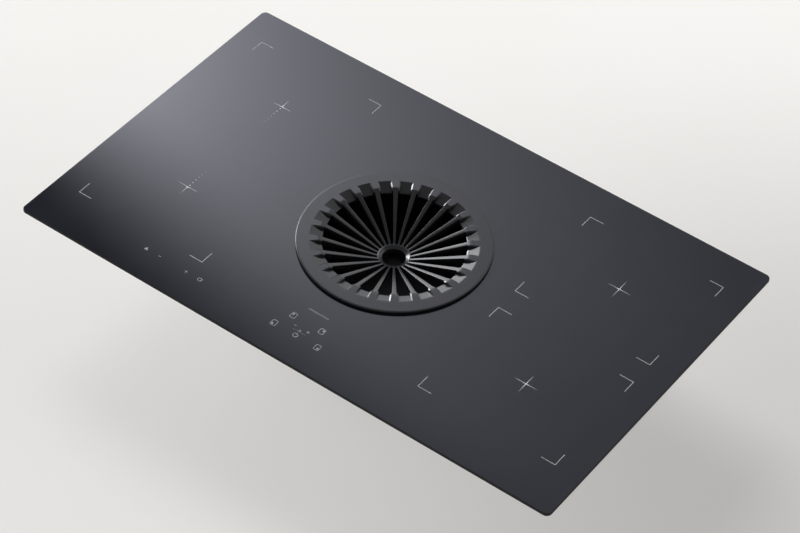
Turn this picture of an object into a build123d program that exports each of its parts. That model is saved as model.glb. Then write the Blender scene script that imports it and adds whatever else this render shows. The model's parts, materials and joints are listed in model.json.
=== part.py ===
from build123d import *
import math
import os

# Downdraft induction cooktop, 840 x 515 mm glass, with a round cast grille over a central
# extractor.  Millimetres.  X runs to the cook's right, Y to the back, Z up.  The origin is
# the centre of the glass on the worktop plane, which is the underside of the rim seal.

os.makedirs("parts", exist_ok=True)


def save(builder, name):
    """Label one finished sub-part and write it to its own file."""
    builder.part.label = name
    export_step(builder.part, f"parts/{name}.step")


# ---------------------------------------------------------------- driving dimensions

# glass top
glass_width = 840.0
glass_depth = 515.0
glass_thickness = 4.0
glass_corner_radius = 8.0
glass_edge_chamfer = 0.8
glass_hole_radius = 115.0

# foam tape under the rim, and the steel frame bonded under the glass
seal_thickness = 1.0
seal_width = 8.0
seal_inset = 4.0
frame_width = 748.0
frame_depth = 480.0
frame_sheet = 1.2
frame_flange = 9.0
frame_leg = 12.0
frame_corner_radius = 10.0

# lower casing: deep-drawn sheet with a vertical rim and sloping sides
casing_sheet = 1.0
casing_rim = 14.0
casing_height = 50.0
casing_taper = 24.0
casing_fit = 0.2

# intake throat
throat_radius = 113.0
throat_wall = 1.5
throat_flange_radius = 128.0
throat_flange_thickness = 3.0
throat_seal_thickness = 2.0
throat_clearance = 1.0
ledge_depth = 38.0
ledge_width = 5.0
ledge_thickness = 3.0

# cast grille
grille_radius = 130.0
grille_ring_inner = 111.5
grille_ring_thickness = 3.2
grille_ring_edge = 2.2
grille_gap = 1.2
grille_pitch_count = 24
grille_turn = 6.0
slot_width = 18.6
cone_inner = 95.0
cone_drop = 6.1
cone_thickness = 2.5
skirt_thickness = 2.5
skirt_depth = 6.0
spoke_kink_radius = 97.0
spoke_kink_drop = 0.7
spoke_height = 8.0
spoke_sink = 0.7
spoke_step = 0.05
spoke_hub_width = 2.9
hub_radius = 22.0
hub_hole_radius = 15.5
hub_top_depth = 19.5
hub_height = 10.0
hub_lip = 1.0
hub_bevel_drop = 4.0
pad_count = 6
pad_radius = 4.0
pad_pocket = 0.8
pad_circle_radius = 121.0

# grease filter and drip bowl
filter_flange_thickness = 2.0
filter_fit = 1.5
mesh_outer_radius = 92.0
mesh_thickness = 8.0
mesh_height = 46.0
cage_sheet = 1.0
cage_window_count = 16
cage_rib_angle = 5.0
handle_bar_width = 12.0
handle_bar_thickness = 3.0
handle_knob_radius = 11.0
handle_knob_height = 9.0
bowl_clearance = 1.5
bowl_depth = 14.0
bowl_wall = 1.5
bowl_leg_height = 14.0
bowl_leg_circle = 74.0
bowl_leg_radius = 5.0
bowl_leg_count = 3
bowl_seat = 3.0

# blower: scroll housing, inlet, outlet
plate_thickness = 2.5
plate_radius = 136.0
scroll_step = 7.0
scroll_start_radius = 85.0
scroll_wall = 2.5
scroll_height = 61.5
scroll_bottom_chamfer = 2.0
tongue_angle = 65.0
scroll_end_y = 118.0
inlet_radius = 54.0
inlet_flare = 14.0
inlet_straight = 5.0
housing_flange = 8.0
housing_flange_height = 4.0

# outlet duct to a standard 222 x 89 flat channel
duct_width = 218.0
duct_height = 85.0
duct_corner_radius = 12.0
duct_wall = 2.0
transition_length = 50.0
collar_length = 48.0
flap_setback = 40.0
flap_thickness = 1.2
flap_clearance = 1.5
flap_side_clearance = 3.5
flap_pin_radius = 2.0
running_gap = 0.05

# impeller and motor
impeller_radius = 76.0
impeller_height = 34.0
impeller_plate = 2.0
blade_count = 9
blade_inner_radius = 43.0
blade_sweep = 48.0
blade_thickness = 1.6
shroud_eye_radius = 56.0
shroud_fall = 13.0
shroud_thickness = 1.5
motor_radius = 34.0
motor_height = 28.0
motor_can_wall = 2.0
motor_air_gap = 0.5
motor_magnet = 1.5
motor_flange_margin = 3.0
motor_flange_thickness = 3.0
motor_can_lift = 1.0
stator_slot_count = 9
stator_slot_width = 4.0
stator_slot_length = 10.0
motor_shaft_radius = 4.0
bearing_radius = 11.0
bearing_width = 7.0
bearing_tube_wall = 3.0
impeller_floor_gap = 9.0
nut_radius = 6.5
nut_height = 5.0
mount_can_gap = 1.5
mount_count = 3
mount_radius = 5.0
mount_collar = 2.5
mount_height = 3.0
mount_upper_height = 2.0

# cooking zones
zone_x = 277.0
rear_zone_y = 114.0
left_front_zone_y = -88.0
right_front_zone_y = -98.0
coil_radius = 86.0
coil_split_radius = 50.0
coil_split_gap = 5.0
coil_hole_radius = 19.0
coil_thickness = 4.0
mica_thickness = 0.5
mica_margin = 1.0
carrier_radius = 89.0
carrier_disc = 2.5
carrier_arm_height = 5.0
carrier_arm_width = 14.0
ferrite_length = 60.0
ferrite_width = 10.0
ferrite_count = 8
sensor_radius = 5.0
support_sheet = 1.5
support_inner_x = 124.0
support_outer_x = 362.0
support_half_depth = 204.0
support_leg_inset = 22.0

# electronics in the casing
board_thickness = 1.6
board_standoff = 6.0
board_width = 190.0
board_depth = 170.0
board_centre_x = 238.0
board_centre_y = 40.0
standoff_radius = 3.5
heatsink_width = 120.0
heatsink_depth = 60.0
heatsink_fin = 2.0
heatsink_fin_count = 9
heatsink_base = 5.0
cooler_size = 80.0
cooler_height = 20.0
cooler_bore = 37.5
cooler_rotor_radius = 36.0
cooler_hub_radius = 15.0
cooler_blade_count = 7
cooler_shaft_radius = 1.5
cooler_x = 290.0
cooler_y = -120.0
touch_board_gap = 7.0
main_touch_width = 120.0
main_touch_depth = 50.0
main_touch_y = -198.0
side_touch_width = 120.0
side_touch_depth = 20.0
side_touch_x = -200.0
side_touch_y = -216.0

# things fixed under the casing
hanger_width = 24.0
hanger_sheet = 2.0
hanger_radius = 132.0
hanger_foot = 16.0
hanger_turn = 45.0
fan_box_width = 120.0
fan_box_depth = 90.0
fan_box_height = 36.0
fan_box_wall = 2.0
fan_box_x = -250.0
fan_box_y = 0.0
fan_lid_thickness = 2.0
terminal_box_width = 96.0
terminal_box_depth = 52.0
terminal_box_height = 34.0
terminal_box_wall = 2.5
terminal_box_x = 165.0
terminal_box_y = 150.0
terminal_cover_thickness = 2.0
terminal_cover_gap = 0.3
terminal_barrel_radius = 3.0
terminal_pin_radius = 1.5
terminal_lug = 4.0
terminal_count = 6
terminal_pitch = 10.0
terminal_block_depth = 20.0
terminal_block_height = 14.0
terminal_bore = 2.2
gland_radius = 7.5
gland_wall = 3.0
gland_collar = 3.0
gland_length = 22.0

# worktop clamps
clamp_x = 318.0
clamp_y = 182.0
clamp_length = 84.0
clamp_width = 20.0
clamp_sheet = 3.0
clamp_gap = 0.3
clamp_pivot_radius = 4.0
clamp_pivot_head = 7.0
clamp_pivot_head_height = 3.0
clamp_boss_height = 7.0
clamp_jack_radius = 2.5
clamp_jack_head = 4.5
clamp_jack_head_height = 3.0
clamp_jack_lift = 2.0

# fasteners
screw_radius = 2.0
screw_head_radius = 3.8
screw_head_height = 2.2
screw_clearance = 0.2

# ---------------------------------------------------------------- levels and derived sizes

glass_bottom = seal_thickness
glass_top = glass_bottom + glass_thickness
casing_top = glass_bottom - frame_sheet
casing_bottom = -casing_height
casing_floor = casing_bottom + casing_sheet
casing_width = frame_width - 2 * (frame_sheet + casing_fit)
casing_depth = frame_depth - 2 * (frame_sheet + casing_fit)

throat_outer_radius = throat_radius + throat_wall
throat_flange_top = glass_bottom - throat_seal_thickness
throat_flange_bottom = throat_flange_top - throat_flange_thickness
ledge_top = -ledge_depth

grille_bottom = glass_top + grille_gap
grille_top = grille_bottom + grille_ring_thickness
skirt_radius = throat_radius - throat_clearance
cone_bottom = grille_top - cone_drop
hub_top = -hub_top_depth
hub_bottom = hub_top - hub_height

filter_flange_radius = throat_radius - filter_fit
filter_flange_top = ledge_top + filter_flange_thickness
mesh_top = ledge_top
mesh_bottom = mesh_top - mesh_height
bowl_rim = mesh_bottom - cage_sheet + bowl_seat
bowl_floor = bowl_rim - bowl_depth
plate_top = bowl_floor - bowl_wall - bowl_leg_height
plate_bottom = plate_top - plate_thickness
scroll_floor = plate_bottom - scroll_height
scroll_bottom = scroll_floor - scroll_wall

impeller_bottom = scroll_floor + impeller_floor_gap
impeller_top = impeller_bottom + impeller_height

support_top = glass_bottom - mica_thickness - coil_thickness - carrier_disc - carrier_arm_height
board_bottom = casing_floor + board_standoff
board_top = board_bottom + board_thickness

zones = {
    "rear_left": (-zone_x, rear_zone_y),
    "front_left": (-zone_x, left_front_zone_y),
    "rear_right": (zone_x, rear_zone_y),
    "front_right": (zone_x, right_front_zone_y),
}
sides = {"left": -1, "right": 1}


# ---------------------------------------------------------------- glass, seal and frame

with BuildPart() as glass_plate:
    with BuildSketch(Plane.XY.offset(glass_bottom)):
        RectangleRounded(glass_width, glass_depth, glass_corner_radius)
        Circle(glass_hole_radius, mode=Mode.SUBTRACT)
    extrude(amount=glass_thickness)
    chamfer(glass_plate.edges().group_by(Axis.Z)[-1], length=glass_edge_chamfer)
save(glass_plate, "glass_plate")

seal_outer_width = glass_width - 2 * seal_inset
seal_outer_depth = glass_depth - 2 * seal_inset
seal_outer_corner = glass_corner_radius - seal_inset
with BuildPart() as rim_seal:
    with BuildSketch(Plane.XY):
        RectangleRounded(seal_outer_width, seal_outer_depth, seal_outer_corner)
        Rectangle(
            seal_outer_width - 2 * seal_width,
            seal_outer_depth - 2 * seal_width,
            mode=Mode.SUBTRACT,
        )
    extrude(amount=seal_thickness)
save(rim_seal, "rim_seal")

# Side screws join the frame's leg to the casing rim: three on each long side, two on each
# short side.  Each plane sits on the leg's outer face and points outwards.
side_screw_level = glass_bottom - frame_sheet - casing_rim / 2
screw_planes = []
for sign in (-1, 1):
    for share in (-0.38, 0.0, 0.38):
        screw_planes.append(
            Plane(
                origin=(share * frame_width, sign * frame_depth / 2, side_screw_level),
                z_dir=(0, sign, 0),
            )
        )
    for share in (-0.3, 0.3):
        screw_planes.append(
            Plane(
                origin=(sign * frame_width / 2, share * frame_depth, side_screw_level),
                z_dir=(sign, 0, 0),
            )
        )
screw_reach = frame_sheet + casing_fit + casing_sheet + screw_radius

with BuildPart() as glass_frame:
    with BuildSketch(Plane.XY.offset(glass_bottom)):
        RectangleRounded(frame_width, frame_depth, frame_corner_radius)
    extrude(amount=-frame_leg)
    with BuildSketch(Plane.XY.offset(glass_bottom - frame_sheet)):
        RectangleRounded(
            frame_width - 2 * frame_sheet,
            frame_depth - 2 * frame_sheet,
            frame_corner_radius - frame_sheet,
        )
    extrude(amount=-frame_leg, mode=Mode.SUBTRACT)
    with BuildSketch(Plane.XY.offset(glass_bottom)):
        RectangleRounded(
            frame_width - 2 * frame_flange,
            frame_depth - 2 * frame_flange,
            frame_corner_radius / 2,
        )
    extrude(amount=-frame_sheet, mode=Mode.SUBTRACT)
    for plane in screw_planes:
        with BuildSketch(plane):
            Circle(screw_radius + screw_clearance)
        extrude(amount=-2 * frame_sheet, mode=Mode.SUBTRACT)
save(glass_frame, "glass_frame")

# ---------------------------------------------------------------- lower casing


def casing_solid(inset, top, bottom):
    """The casing's form, drawn in by inset all round: an upright rim over sloping sides."""
    rim_bottom = casing_top - casing_rim
    lower_inset = casing_taper * (rim_bottom - bottom) / (rim_bottom - casing_bottom)
    with BuildPart(mode=Mode.PRIVATE) as form:
        with BuildSketch(Plane.XY.offset(top)):
            RectangleRounded(
                casing_width - 2 * inset,
                casing_depth - 2 * inset,
                frame_corner_radius - frame_sheet - inset,
            )
        extrude(amount=rim_bottom - top)
        with BuildSketch(Plane.XY.offset(rim_bottom)):
            RectangleRounded(
                casing_width - 2 * inset,
                casing_depth - 2 * inset,
                frame_corner_radius - frame_sheet - inset,
            )
        with BuildSketch(Plane.XY.offset(bottom)):
            RectangleRounded(
                casing_width - 2 * (inset + lower_inset),
                casing_depth - 2 * (inset + lower_inset),
                frame_corner_radius - frame_sheet - inset,
            )
        loft(ruled=True)
    return form.part


vent_length = 44.0
vent_width = 4.0
vent_pitch = 9.0
cooler_vent_count = 8
exhaust_vent_count = 10
exhaust_x = 290.0
exhaust_y = 110.0
casing_hole_radius = throat_outer_radius + throat_clearance

hanger_angles = [hanger_turn + 90.0 * index for index in range(4)]
hanger_screw_radius = hanger_radius + hanger_sheet + hanger_foot / 2
hanger_lower_screw_radius = hanger_radius - hanger_foot / 2


def on_circle(radius, angles, level):
    """Planes at one height around the Z axis, each with its X axis pointing outwards."""
    return [
        Plane(
            origin=(
                radius * math.cos(math.radians(angle)),
                radius * math.sin(math.radians(angle)),
                level,
            ),
            x_dir=(math.cos(math.radians(angle)), math.sin(math.radians(angle)), 0),
        )
        for angle in angles
    ]


clamp_places = {
    "rear_left": (-1, 1),
    "front_left": (-1, -1),
    "rear_right": (1, 1),
    "front_right": (1, -1),
}

with BuildPart() as casing_tray:
    add(casing_solid(0.0, casing_top, casing_bottom))
    add(casing_solid(casing_sheet, casing_top + 1.0, casing_floor), mode=Mode.SUBTRACT)
    with BuildSketch(Plane.XY.offset(casing_bottom)):
        Circle(casing_hole_radius)
        for sign in sides.values():
            with Locations((sign * cooler_x, cooler_y)):
                with GridLocations(vent_pitch, 0, cooler_vent_count, 1):
                    SlotOverall(vent_length, vent_width, rotation=90)
            with Locations((sign * exhaust_x, exhaust_y)):
                with GridLocations(vent_pitch, 0, exhaust_vent_count, 1):
                    SlotOverall(vent_length, vent_width, rotation=90)
        for x_sign, y_sign in clamp_places.values():
            with Locations((x_sign * clamp_x, y_sign * clamp_y)):
                Circle(clamp_pivot_radius + running_gap)
    extrude(amount=casing_sheet, mode=Mode.SUBTRACT)
    for plane in screw_planes:
        with BuildSketch(plane):
            Circle(screw_radius + running_gap)
        extrude(amount=-screw_reach, mode=Mode.SUBTRACT)
    for plane in on_circle(hanger_screw_radius, hanger_angles, casing_bottom):
        with BuildSketch(plane):
            Circle(screw_radius + running_gap)
        extrude(amount=casing_sheet, mode=Mode.SUBTRACT)
save(casing_tray, "casing_tray")


def screw(plane, reach):
    """One pan-head screw: the head stands on the plane, the shank goes reach behind it."""
    with BuildPart(plane, mode=Mode.PRIVATE) as body:
        with BuildSketch(plane):
            Circle(screw_radius)
        extrude(amount=-reach)
        with BuildSketch(plane):
            Circle(screw_head_radius)
        extrude(amount=screw_head_height)
        crown = body.edges().sort_by(Axis(plane.origin, plane.z_dir))[-1]
        fillet(crown, radius=screw_head_height / 2)
    return body.part


# ---------------------------------------------------------------- throat

with BuildPart() as throat_seal:
    with BuildSketch(Plane.XY.offset(throat_flange_top)):
        Circle(throat_flange_radius - throat_seal_thickness)
        Circle(glass_hole_radius + throat_seal_thickness, mode=Mode.SUBTRACT)
    extrude(amount=throat_seal_thickness)
save(throat_seal, "throat_seal")

with BuildPart() as intake_throat:
    with BuildSketch(Plane.XZ):
        with BuildLine():
            Polyline(
                (throat_radius, throat_flange_top),
                (throat_flange_radius, throat_flange_top),
                (throat_flange_radius, throat_flange_bottom),
                (throat_outer_radius, throat_flange_bottom),
                (throat_outer_radius, plate_top),
                (throat_radius, plate_top),
                close=True,
            )
        make_face()
    revolve(axis=Axis.Z)
save(intake_throat, "intake_throat")

# a flat ring, spot-welded to the wall on the inside, that the grease filter rests on
with BuildPart() as filter_ledge:
    with BuildSketch(Plane.XY.offset(ledge_top - ledge_thickness)):
        Circle(throat_radius)
        Circle(throat_radius - ledge_width, mode=Mode.SUBTRACT)
    extrude(amount=ledge_thickness)
save(filter_ledge, "filter_ledge")

# ---------------------------------------------------------------- cast grille
#
# A flat ring lies just above the glass.  Inside it a shallow cone falls inwards, and 24
# spokes run on over the cone, then down to a hub ring that a finger lifts the grille by.

pitch_angle = 360.0 / grille_pitch_count


def spoke_width(radius):
    """What a parallel-sided slot leaves of one pitch at this radius."""
    return 2 * math.pi * radius / grille_pitch_count - slot_width


spoke_angles = [grille_turn + pitch_angle * index for index in range(grille_pitch_count)]
pad_top = grille_bottom + pad_pocket
cone_slope = cone_drop / (grille_ring_inner - cone_inner)
cone_outer = skirt_radius - skirt_thickness
cone_outer_bottom = cone_bottom + cone_slope * (cone_outer - cone_inner) - cone_thickness
kink_level = grille_top - spoke_kink_drop
spoke_end = grille_ring_inner + spoke_sink

with BuildPart(mode=Mode.PRIVATE) as grille_spoke:
    with BuildSketch(Plane.XZ):
        with BuildLine():
            Polyline(
                (hub_radius - hub_lip, hub_top),
                (spoke_kink_radius, kink_level),
                (spoke_end, grille_top - spoke_step),
                (spoke_end, grille_bottom + spoke_step),
                (cone_outer + skirt_thickness / 2, cone_bottom),
                (cone_outer + skirt_thickness / 2, kink_level - spoke_height),
                (spoke_kink_radius, kink_level - spoke_height),
                (hub_radius - hub_lip, hub_top - spoke_height),
                close=True,
            )
        make_face()
    extrude(amount=slot_width / 2, both=True)
    with BuildSketch(Plane.XY.offset(hub_bottom)):
        with BuildLine():
            right_side = Polyline(
                (hub_radius - hub_lip, -spoke_hub_width / 2),
                (cone_inner, -spoke_width(cone_inner) / 2),
                (spoke_end, -spoke_width(spoke_end) / 2),
            )
            left_side = mirror(right_side, about=Plane.XZ)
            Line(right_side @ 0, left_side @ 0)
            Line(right_side @ 1, left_side @ 1)
        make_face()
    extrude(amount=grille_top - hub_bottom, mode=Mode.INTERSECT)

with BuildPart() as grille:
    with BuildSketch(Plane.XZ):
        with BuildLine():
            Polyline(
                (grille_radius, grille_bottom),
                (grille_radius, grille_top),
                (grille_ring_inner, grille_top),
                (cone_inner, cone_bottom),
                (cone_inner, cone_bottom - cone_thickness),
                (cone_outer, cone_outer_bottom),
                (cone_outer, grille_bottom - skirt_depth),
                (skirt_radius, grille_bottom - skirt_depth),
                (skirt_radius, grille_bottom),
                close=True,
            )
        make_face()
        with BuildLine():
            Polyline(
                (hub_radius, hub_bottom),
                (hub_radius, hub_top),
                (hub_radius - hub_lip, hub_top + hub_lip / 2),
                (hub_hole_radius, hub_top - hub_bevel_drop),
                (hub_hole_radius, hub_bottom),
                close=True,
            )
        make_face()
    revolve(axis=Axis.Z)
    outer_edge = grille.edges().filter_by(GeomType.CIRCLE).group_by(Axis.Z)[-1].sort_by(
        SortBy.RADIUS
    )[-1]
    fillet(outer_edge, radius=grille_ring_edge)
    for angle in spoke_angles:
        add(grille_spoke.part.rotate(Axis.Z, angle))
    with BuildSketch(Plane.XY.offset(grille_bottom)):
        with PolarLocations(pad_circle_radius, pad_count):
            Circle(pad_radius)
    extrude(amount=pad_pocket, mode=Mode.SUBTRACT)
save(grille, "grille")

with BuildPart() as grille_pads:
    with BuildSketch(Plane.XY.offset(glass_top)):
        with PolarLocations(pad_circle_radius, pad_count):
            Circle(pad_radius)
    extrude(amount=pad_top - glass_top)
save(grille_pads, "grille_pads")

# ---------------------------------------------------------------- grease filter
#
# A drop-in cage: a flange rests on the ledge in the throat, a slotted wall below it stands
# inside and outside the mesh ring, and a bridge with a knob lifts it out.

mesh_inner_radius = mesh_outer_radius - mesh_thickness
cage_outer_radius = mesh_outer_radius + cage_sheet
bowl_inner_radius = cage_outer_radius + bowl_clearance
cage_inner_radius = mesh_inner_radius - cage_sheet
cage_bottom = mesh_bottom - cage_sheet
window_angle = 360.0 / cage_window_count

with BuildPart() as filter_flange:
    with BuildSketch(Plane.XY.offset(ledge_top)):
        Circle(filter_flange_radius)
        Circle(cage_inner_radius, mode=Mode.SUBTRACT)
    extrude(amount=filter_flange_thickness)
save(filter_flange, "filter_flange")

with BuildPart() as filter_cage:
    with BuildSketch(Plane.XY.offset(cage_bottom)):
        Circle(cage_outer_radius)
        Circle(cage_inner_radius, mode=Mode.SUBTRACT)
    extrude(amount=ledge_top - cage_bottom)
    with BuildSketch(Plane.XY.offset(mesh_bottom)):
        Circle(mesh_outer_radius)
        Circle(mesh_inner_radius, mode=Mode.SUBTRACT)
    extrude(amount=mesh_height, mode=Mode.SUBTRACT)
    window_height = mesh_height - 2 * cage_rib_angle
    window_width = 2 * math.pi * cage_inner_radius * (window_angle - cage_rib_angle) / 360
    with BuildPart(mode=Mode.PRIVATE) as cage_window:
        with BuildSketch(Plane.YZ.offset(cage_inner_radius - handle_bar_width / 2)):
            with Locations((0, mesh_bottom + mesh_height / 2)):
                RectangleRounded(window_width, window_height, cage_rib_angle)
        extrude(amount=mesh_thickness + handle_bar_width)
    for index in range(cage_window_count):
        turn = window_angle * (index + 0.5)
        add(cage_window.part.rotate(Axis.Z, turn), mode=Mode.SUBTRACT)
save(filter_cage, "filter_cage")

with BuildPart() as filter_mesh:
    with BuildSketch(Plane.XY.offset(mesh_bottom)):
        Circle(mesh_outer_radius)
        Circle(mesh_inner_radius, mode=Mode.SUBTRACT)
    extrude(amount=mesh_height)
save(filter_mesh, "filter_mesh")

handle_end = cage_inner_radius + mesh_thickness / 2
with BuildPart() as filter_handle:
    with BuildSketch(Plane.XY.offset(filter_flange_top)):
        SlotOverall(2 * handle_end, handle_bar_width)
        Circle(handle_knob_radius)
    extrude(amount=handle_bar_thickness)
    with BuildSketch(Plane.XY.offset(filter_flange_top)):
        Circle(handle_knob_radius - handle_bar_thickness)
    extrude(amount=-handle_knob_height)
save(filter_handle, "filter_handle")

# ---------------------------------------------------------------- drip bowl

with BuildPart() as drip_bowl:
    with BuildSketch(Plane.XY.offset(bowl_floor - bowl_wall)):
        Circle(bowl_inner_radius + bowl_wall)
    extrude(amount=bowl_rim - bowl_floor + bowl_wall)
    lower_rim = drip_bowl.edges().group_by(Axis.Z)[0]
    fillet(lower_rim, radius=bowl_depth / 2)
    with BuildPart(mode=Mode.PRIVATE) as bowl_inside:
        with BuildSketch(Plane.XY.offset(bowl_floor)):
            Circle(bowl_inner_radius)
        extrude(amount=bowl_depth)
        fillet(bowl_inside.edges().group_by(Axis.Z)[0], radius=bowl_depth / 2 - bowl_wall)
    add(bowl_inside.part, mode=Mode.SUBTRACT)
    # the legs stand on the blower's cover plate
    with BuildSketch(Plane.XY.offset(plate_top)):
        with PolarLocations(bowl_leg_circle, bowl_leg_count, start_angle=90):
            Circle(bowl_leg_radius)
    extrude(amount=bowl_leg_height)
save(drip_bowl, "drip_bowl")

# ---------------------------------------------------------------- blower housing
#
# The scroll is three quarter arcs, each one step larger than the last, then a straight run
# to the outlet at the back.  A short arc of the smallest radius leads to the tongue.

half_step = scroll_step / 2
radius_left = scroll_start_radius + scroll_step
radius_front = radius_left + scroll_step
radius_right = radius_front + scroll_step
centre_tongue = Vector(-half_step, half_step)
centre_left = Vector(-half_step, -half_step)
centre_front = Vector(half_step, -half_step)
centre_right = Vector(half_step, half_step)
tongue = centre_tongue + Vector(
    scroll_start_radius * math.cos(math.radians(tongue_angle)),
    scroll_start_radius * math.sin(math.radians(tongue_angle)),
)
scroll_right_x = centre_right.X + radius_right
outlet_x = (tongue.X + scroll_right_x) / 2
outlet_width = scroll_right_x - tongue.X


def scroll_face(reach, grow):
    """The scroll's outline up to y = reach, drawn outwards by grow all round."""
    with BuildSketch(mode=Mode.PRIVATE) as face:
        with BuildLine():
            rear = CenterArc(
                centre_tongue, scroll_start_radius + grow, tongue_angle, 90 - tongue_angle
            )
            left = CenterArc(centre_left, radius_left + grow, 90, 90)
            front = CenterArc(centre_front, radius_front + grow, 180, 90)
            right = CenterArc(centre_right, radius_right + grow, 270, 90)
            outer = Line(right @ 1, (scroll_right_x + grow, reach))
            end = Line(outer @ 1, (tongue.X - grow, reach))
            Line(end @ 1, rear @ 0)
        make_face()
    return face.sketch


with BuildPart(mode=Mode.PRIVATE) as volute_shell:
    with BuildSketch(Plane.XY.offset(scroll_bottom)):
        add(scroll_face(scroll_end_y, scroll_wall))
    extrude(amount=plate_bottom - scroll_bottom)
    chamfer(volute_shell.edges().group_by(Axis.Z)[0], length=scroll_bottom_chamfer)
    with BuildSketch(Plane.XY.offset(plate_bottom)):
        add(scroll_face(scroll_end_y, scroll_wall + housing_flange))
    extrude(amount=-housing_flange_height)
    with BuildSketch(Plane.XZ.offset(-scroll_end_y)):
        with Locations((outlet_x, (scroll_bottom + plate_bottom) / 2)):
            Rectangle(
                outlet_width + 2 * (scroll_wall + housing_flange),
                plate_bottom - scroll_bottom,
            )
    extrude(amount=housing_flange_height)
    with BuildSketch(Plane.XY.offset(scroll_floor)):
        add(scroll_face(scroll_end_y + scroll_wall, 0.0))
    extrude(amount=plate_bottom - scroll_floor, mode=Mode.SUBTRACT)

# The cover plate carries the throat and the bowl, and rolls down into the inlet mouth.
plate_screws = []
for centre, radius, angles in (
    (centre_left, radius_left, (120, 165)),
    (centre_front, radius_front, (205, 250)),
    (centre_right, radius_right, (290, 340)),
):
    for angle in angles:
        reach = radius + scroll_wall + screw_head_radius + screw_clearance
        plate_screws.append(
            Plane(
                origin=(
                    centre.X + reach * math.cos(math.radians(angle)),
                    centre.Y + reach * math.sin(math.radians(angle)),
                    plate_bottom - housing_flange_height,
                ),
                z_dir=(0, 0, -1),
            )
        )
plate_screw_reach = housing_flange_height + plate_thickness
mount_circle = motor_radius + mount_can_gap + mount_radius + mount_collar
motor_flange_radius = mount_circle + mount_radius + motor_flange_margin
mount_angles = [90.0 + 360.0 / mount_count * index for index in range(mount_count)]
mount_planes = [
    Plane(origin=plane.origin, z_dir=(0, 0, -1))
    for plane in on_circle(mount_circle, mount_angles, scroll_bottom)
]
motor_flange_bottom = scroll_floor + mount_height
motor_flange_top = motor_flange_bottom + motor_flange_thickness
mount_screw_reach = motor_flange_top - scroll_bottom
hanger_lower_planes = on_circle(hanger_lower_screw_radius, hanger_angles, plate_top)

with BuildPart() as inlet_plate:
    with BuildSketch(Plane.XY.offset(plate_bottom)):
        Circle(plate_radius)
        with Locations((0, scroll_end_y)):
            Rectangle(
                2 * plate_radius,
                plate_radius,
                align=(Align.CENTER, Align.MIN),
                mode=Mode.SUBTRACT,
            )
        Circle(inlet_radius + inlet_flare, mode=Mode.SUBTRACT)
    extrude(amount=plate_thickness)
    with BuildSketch(Plane.XZ):
        with BuildLine():
            flare_x = inlet_radius + inlet_flare
            flare_z = plate_top - inlet_flare
            upper_arc = CenterArc((flare_x, flare_z), inlet_flare, 90, 90)
            lower_arc = CenterArc((flare_x, flare_z), inlet_flare - plate_thickness, 90, 90)
            lip_inner = Line(upper_arc @ 1, (inlet_radius, flare_z - inlet_straight))
            lip_outer = Line(
                lower_arc @ 1, (inlet_radius + plate_thickness, flare_z - inlet_straight)
            )
            Line(lip_inner @ 1, lip_outer @ 1)
            Line(upper_arc @ 0, lower_arc @ 0)
        make_face()
    revolve(axis=Axis.Z)
    for plane in plate_screws:
        with BuildSketch(plane.offset(-housing_flange_height)):
            Circle(screw_radius + running_gap)
        extrude(amount=-plate_thickness, mode=Mode.SUBTRACT)
    for plane in hanger_lower_planes:
        with BuildSketch(plane):
            Circle(screw_radius + running_gap)
        extrude(amount=-plate_thickness, mode=Mode.SUBTRACT)
save(inlet_plate, "inlet_plate")

with BuildPart() as volute:
    add(volute_shell.part)
    for plane in plate_screws:
        with BuildSketch(plane):
            Circle(screw_radius + screw_clearance)
        extrude(amount=-housing_flange_height, mode=Mode.SUBTRACT)
    for plane in mount_planes:
        with BuildSketch(plane):
            Circle(screw_radius + screw_clearance)
        extrude(amount=-scroll_wall, mode=Mode.SUBTRACT)
save(volute, "volute")

# ---------------------------------------------------------------- outlet duct and flap

duct_level = scroll_bottom + duct_height / 2
collar_start = scroll_end_y + housing_flange_height + transition_length
collar_end = collar_start + collar_length
mouth_level = (plate_bottom + scroll_floor) / 2
mouth_height = plate_bottom - scroll_floor
mouth_corner = 4.0


def duct_form(shrink):
    """The duct's outer form, drawn in by shrink: scroll mouth, transition and flat collar."""
    start = scroll_end_y + housing_flange_height
    with BuildPart(mode=Mode.PRIVATE) as form:
        with BuildSketch(Plane.XZ.offset(-start)):
            with Locations((outlet_x, mouth_level)):
                RectangleRounded(
                    outlet_width + 2 * (duct_wall - shrink),
                    mouth_height + 2 * (duct_wall - shrink),
                    mouth_corner + duct_wall - shrink,
                )
        with BuildSketch(Plane.XZ.offset(-collar_start)):
            with Locations((outlet_x, duct_level)):
                RectangleRounded(
                    duct_width - 2 * shrink,
                    duct_height - 2 * shrink,
                    duct_corner_radius - shrink,
                )
        loft(ruled=True)
        with BuildSketch(Plane.XZ.offset(-collar_start)):
            with Locations((outlet_x, duct_level)):
                RectangleRounded(
                    duct_width - 2 * shrink,
                    duct_height - 2 * shrink,
                    duct_corner_radius - shrink,
                )
        extrude(amount=-collar_length)
        with BuildSketch(Plane.XZ.offset(-scroll_end_y)):
            with Locations((outlet_x, mouth_level)):
                RectangleRounded(
                    outlet_width + 2 * (duct_wall - shrink),
                    mouth_height + 2 * (duct_wall - shrink),
                    mouth_corner + duct_wall - shrink,
                )
        extrude(amount=-housing_flange_height)
    return form.part


flap_y = collar_end - flap_setback
flap_pin_level = scroll_bottom + duct_height - duct_wall - flap_clearance - flap_pin_radius
flap_bottom = scroll_bottom + duct_wall + flap_clearance
flap_width = duct_width - 2 * (duct_wall + flap_side_clearance)
flap_corner = duct_corner_radius - duct_wall
stop_gap = 0.3
stop_height = 5.0

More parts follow.
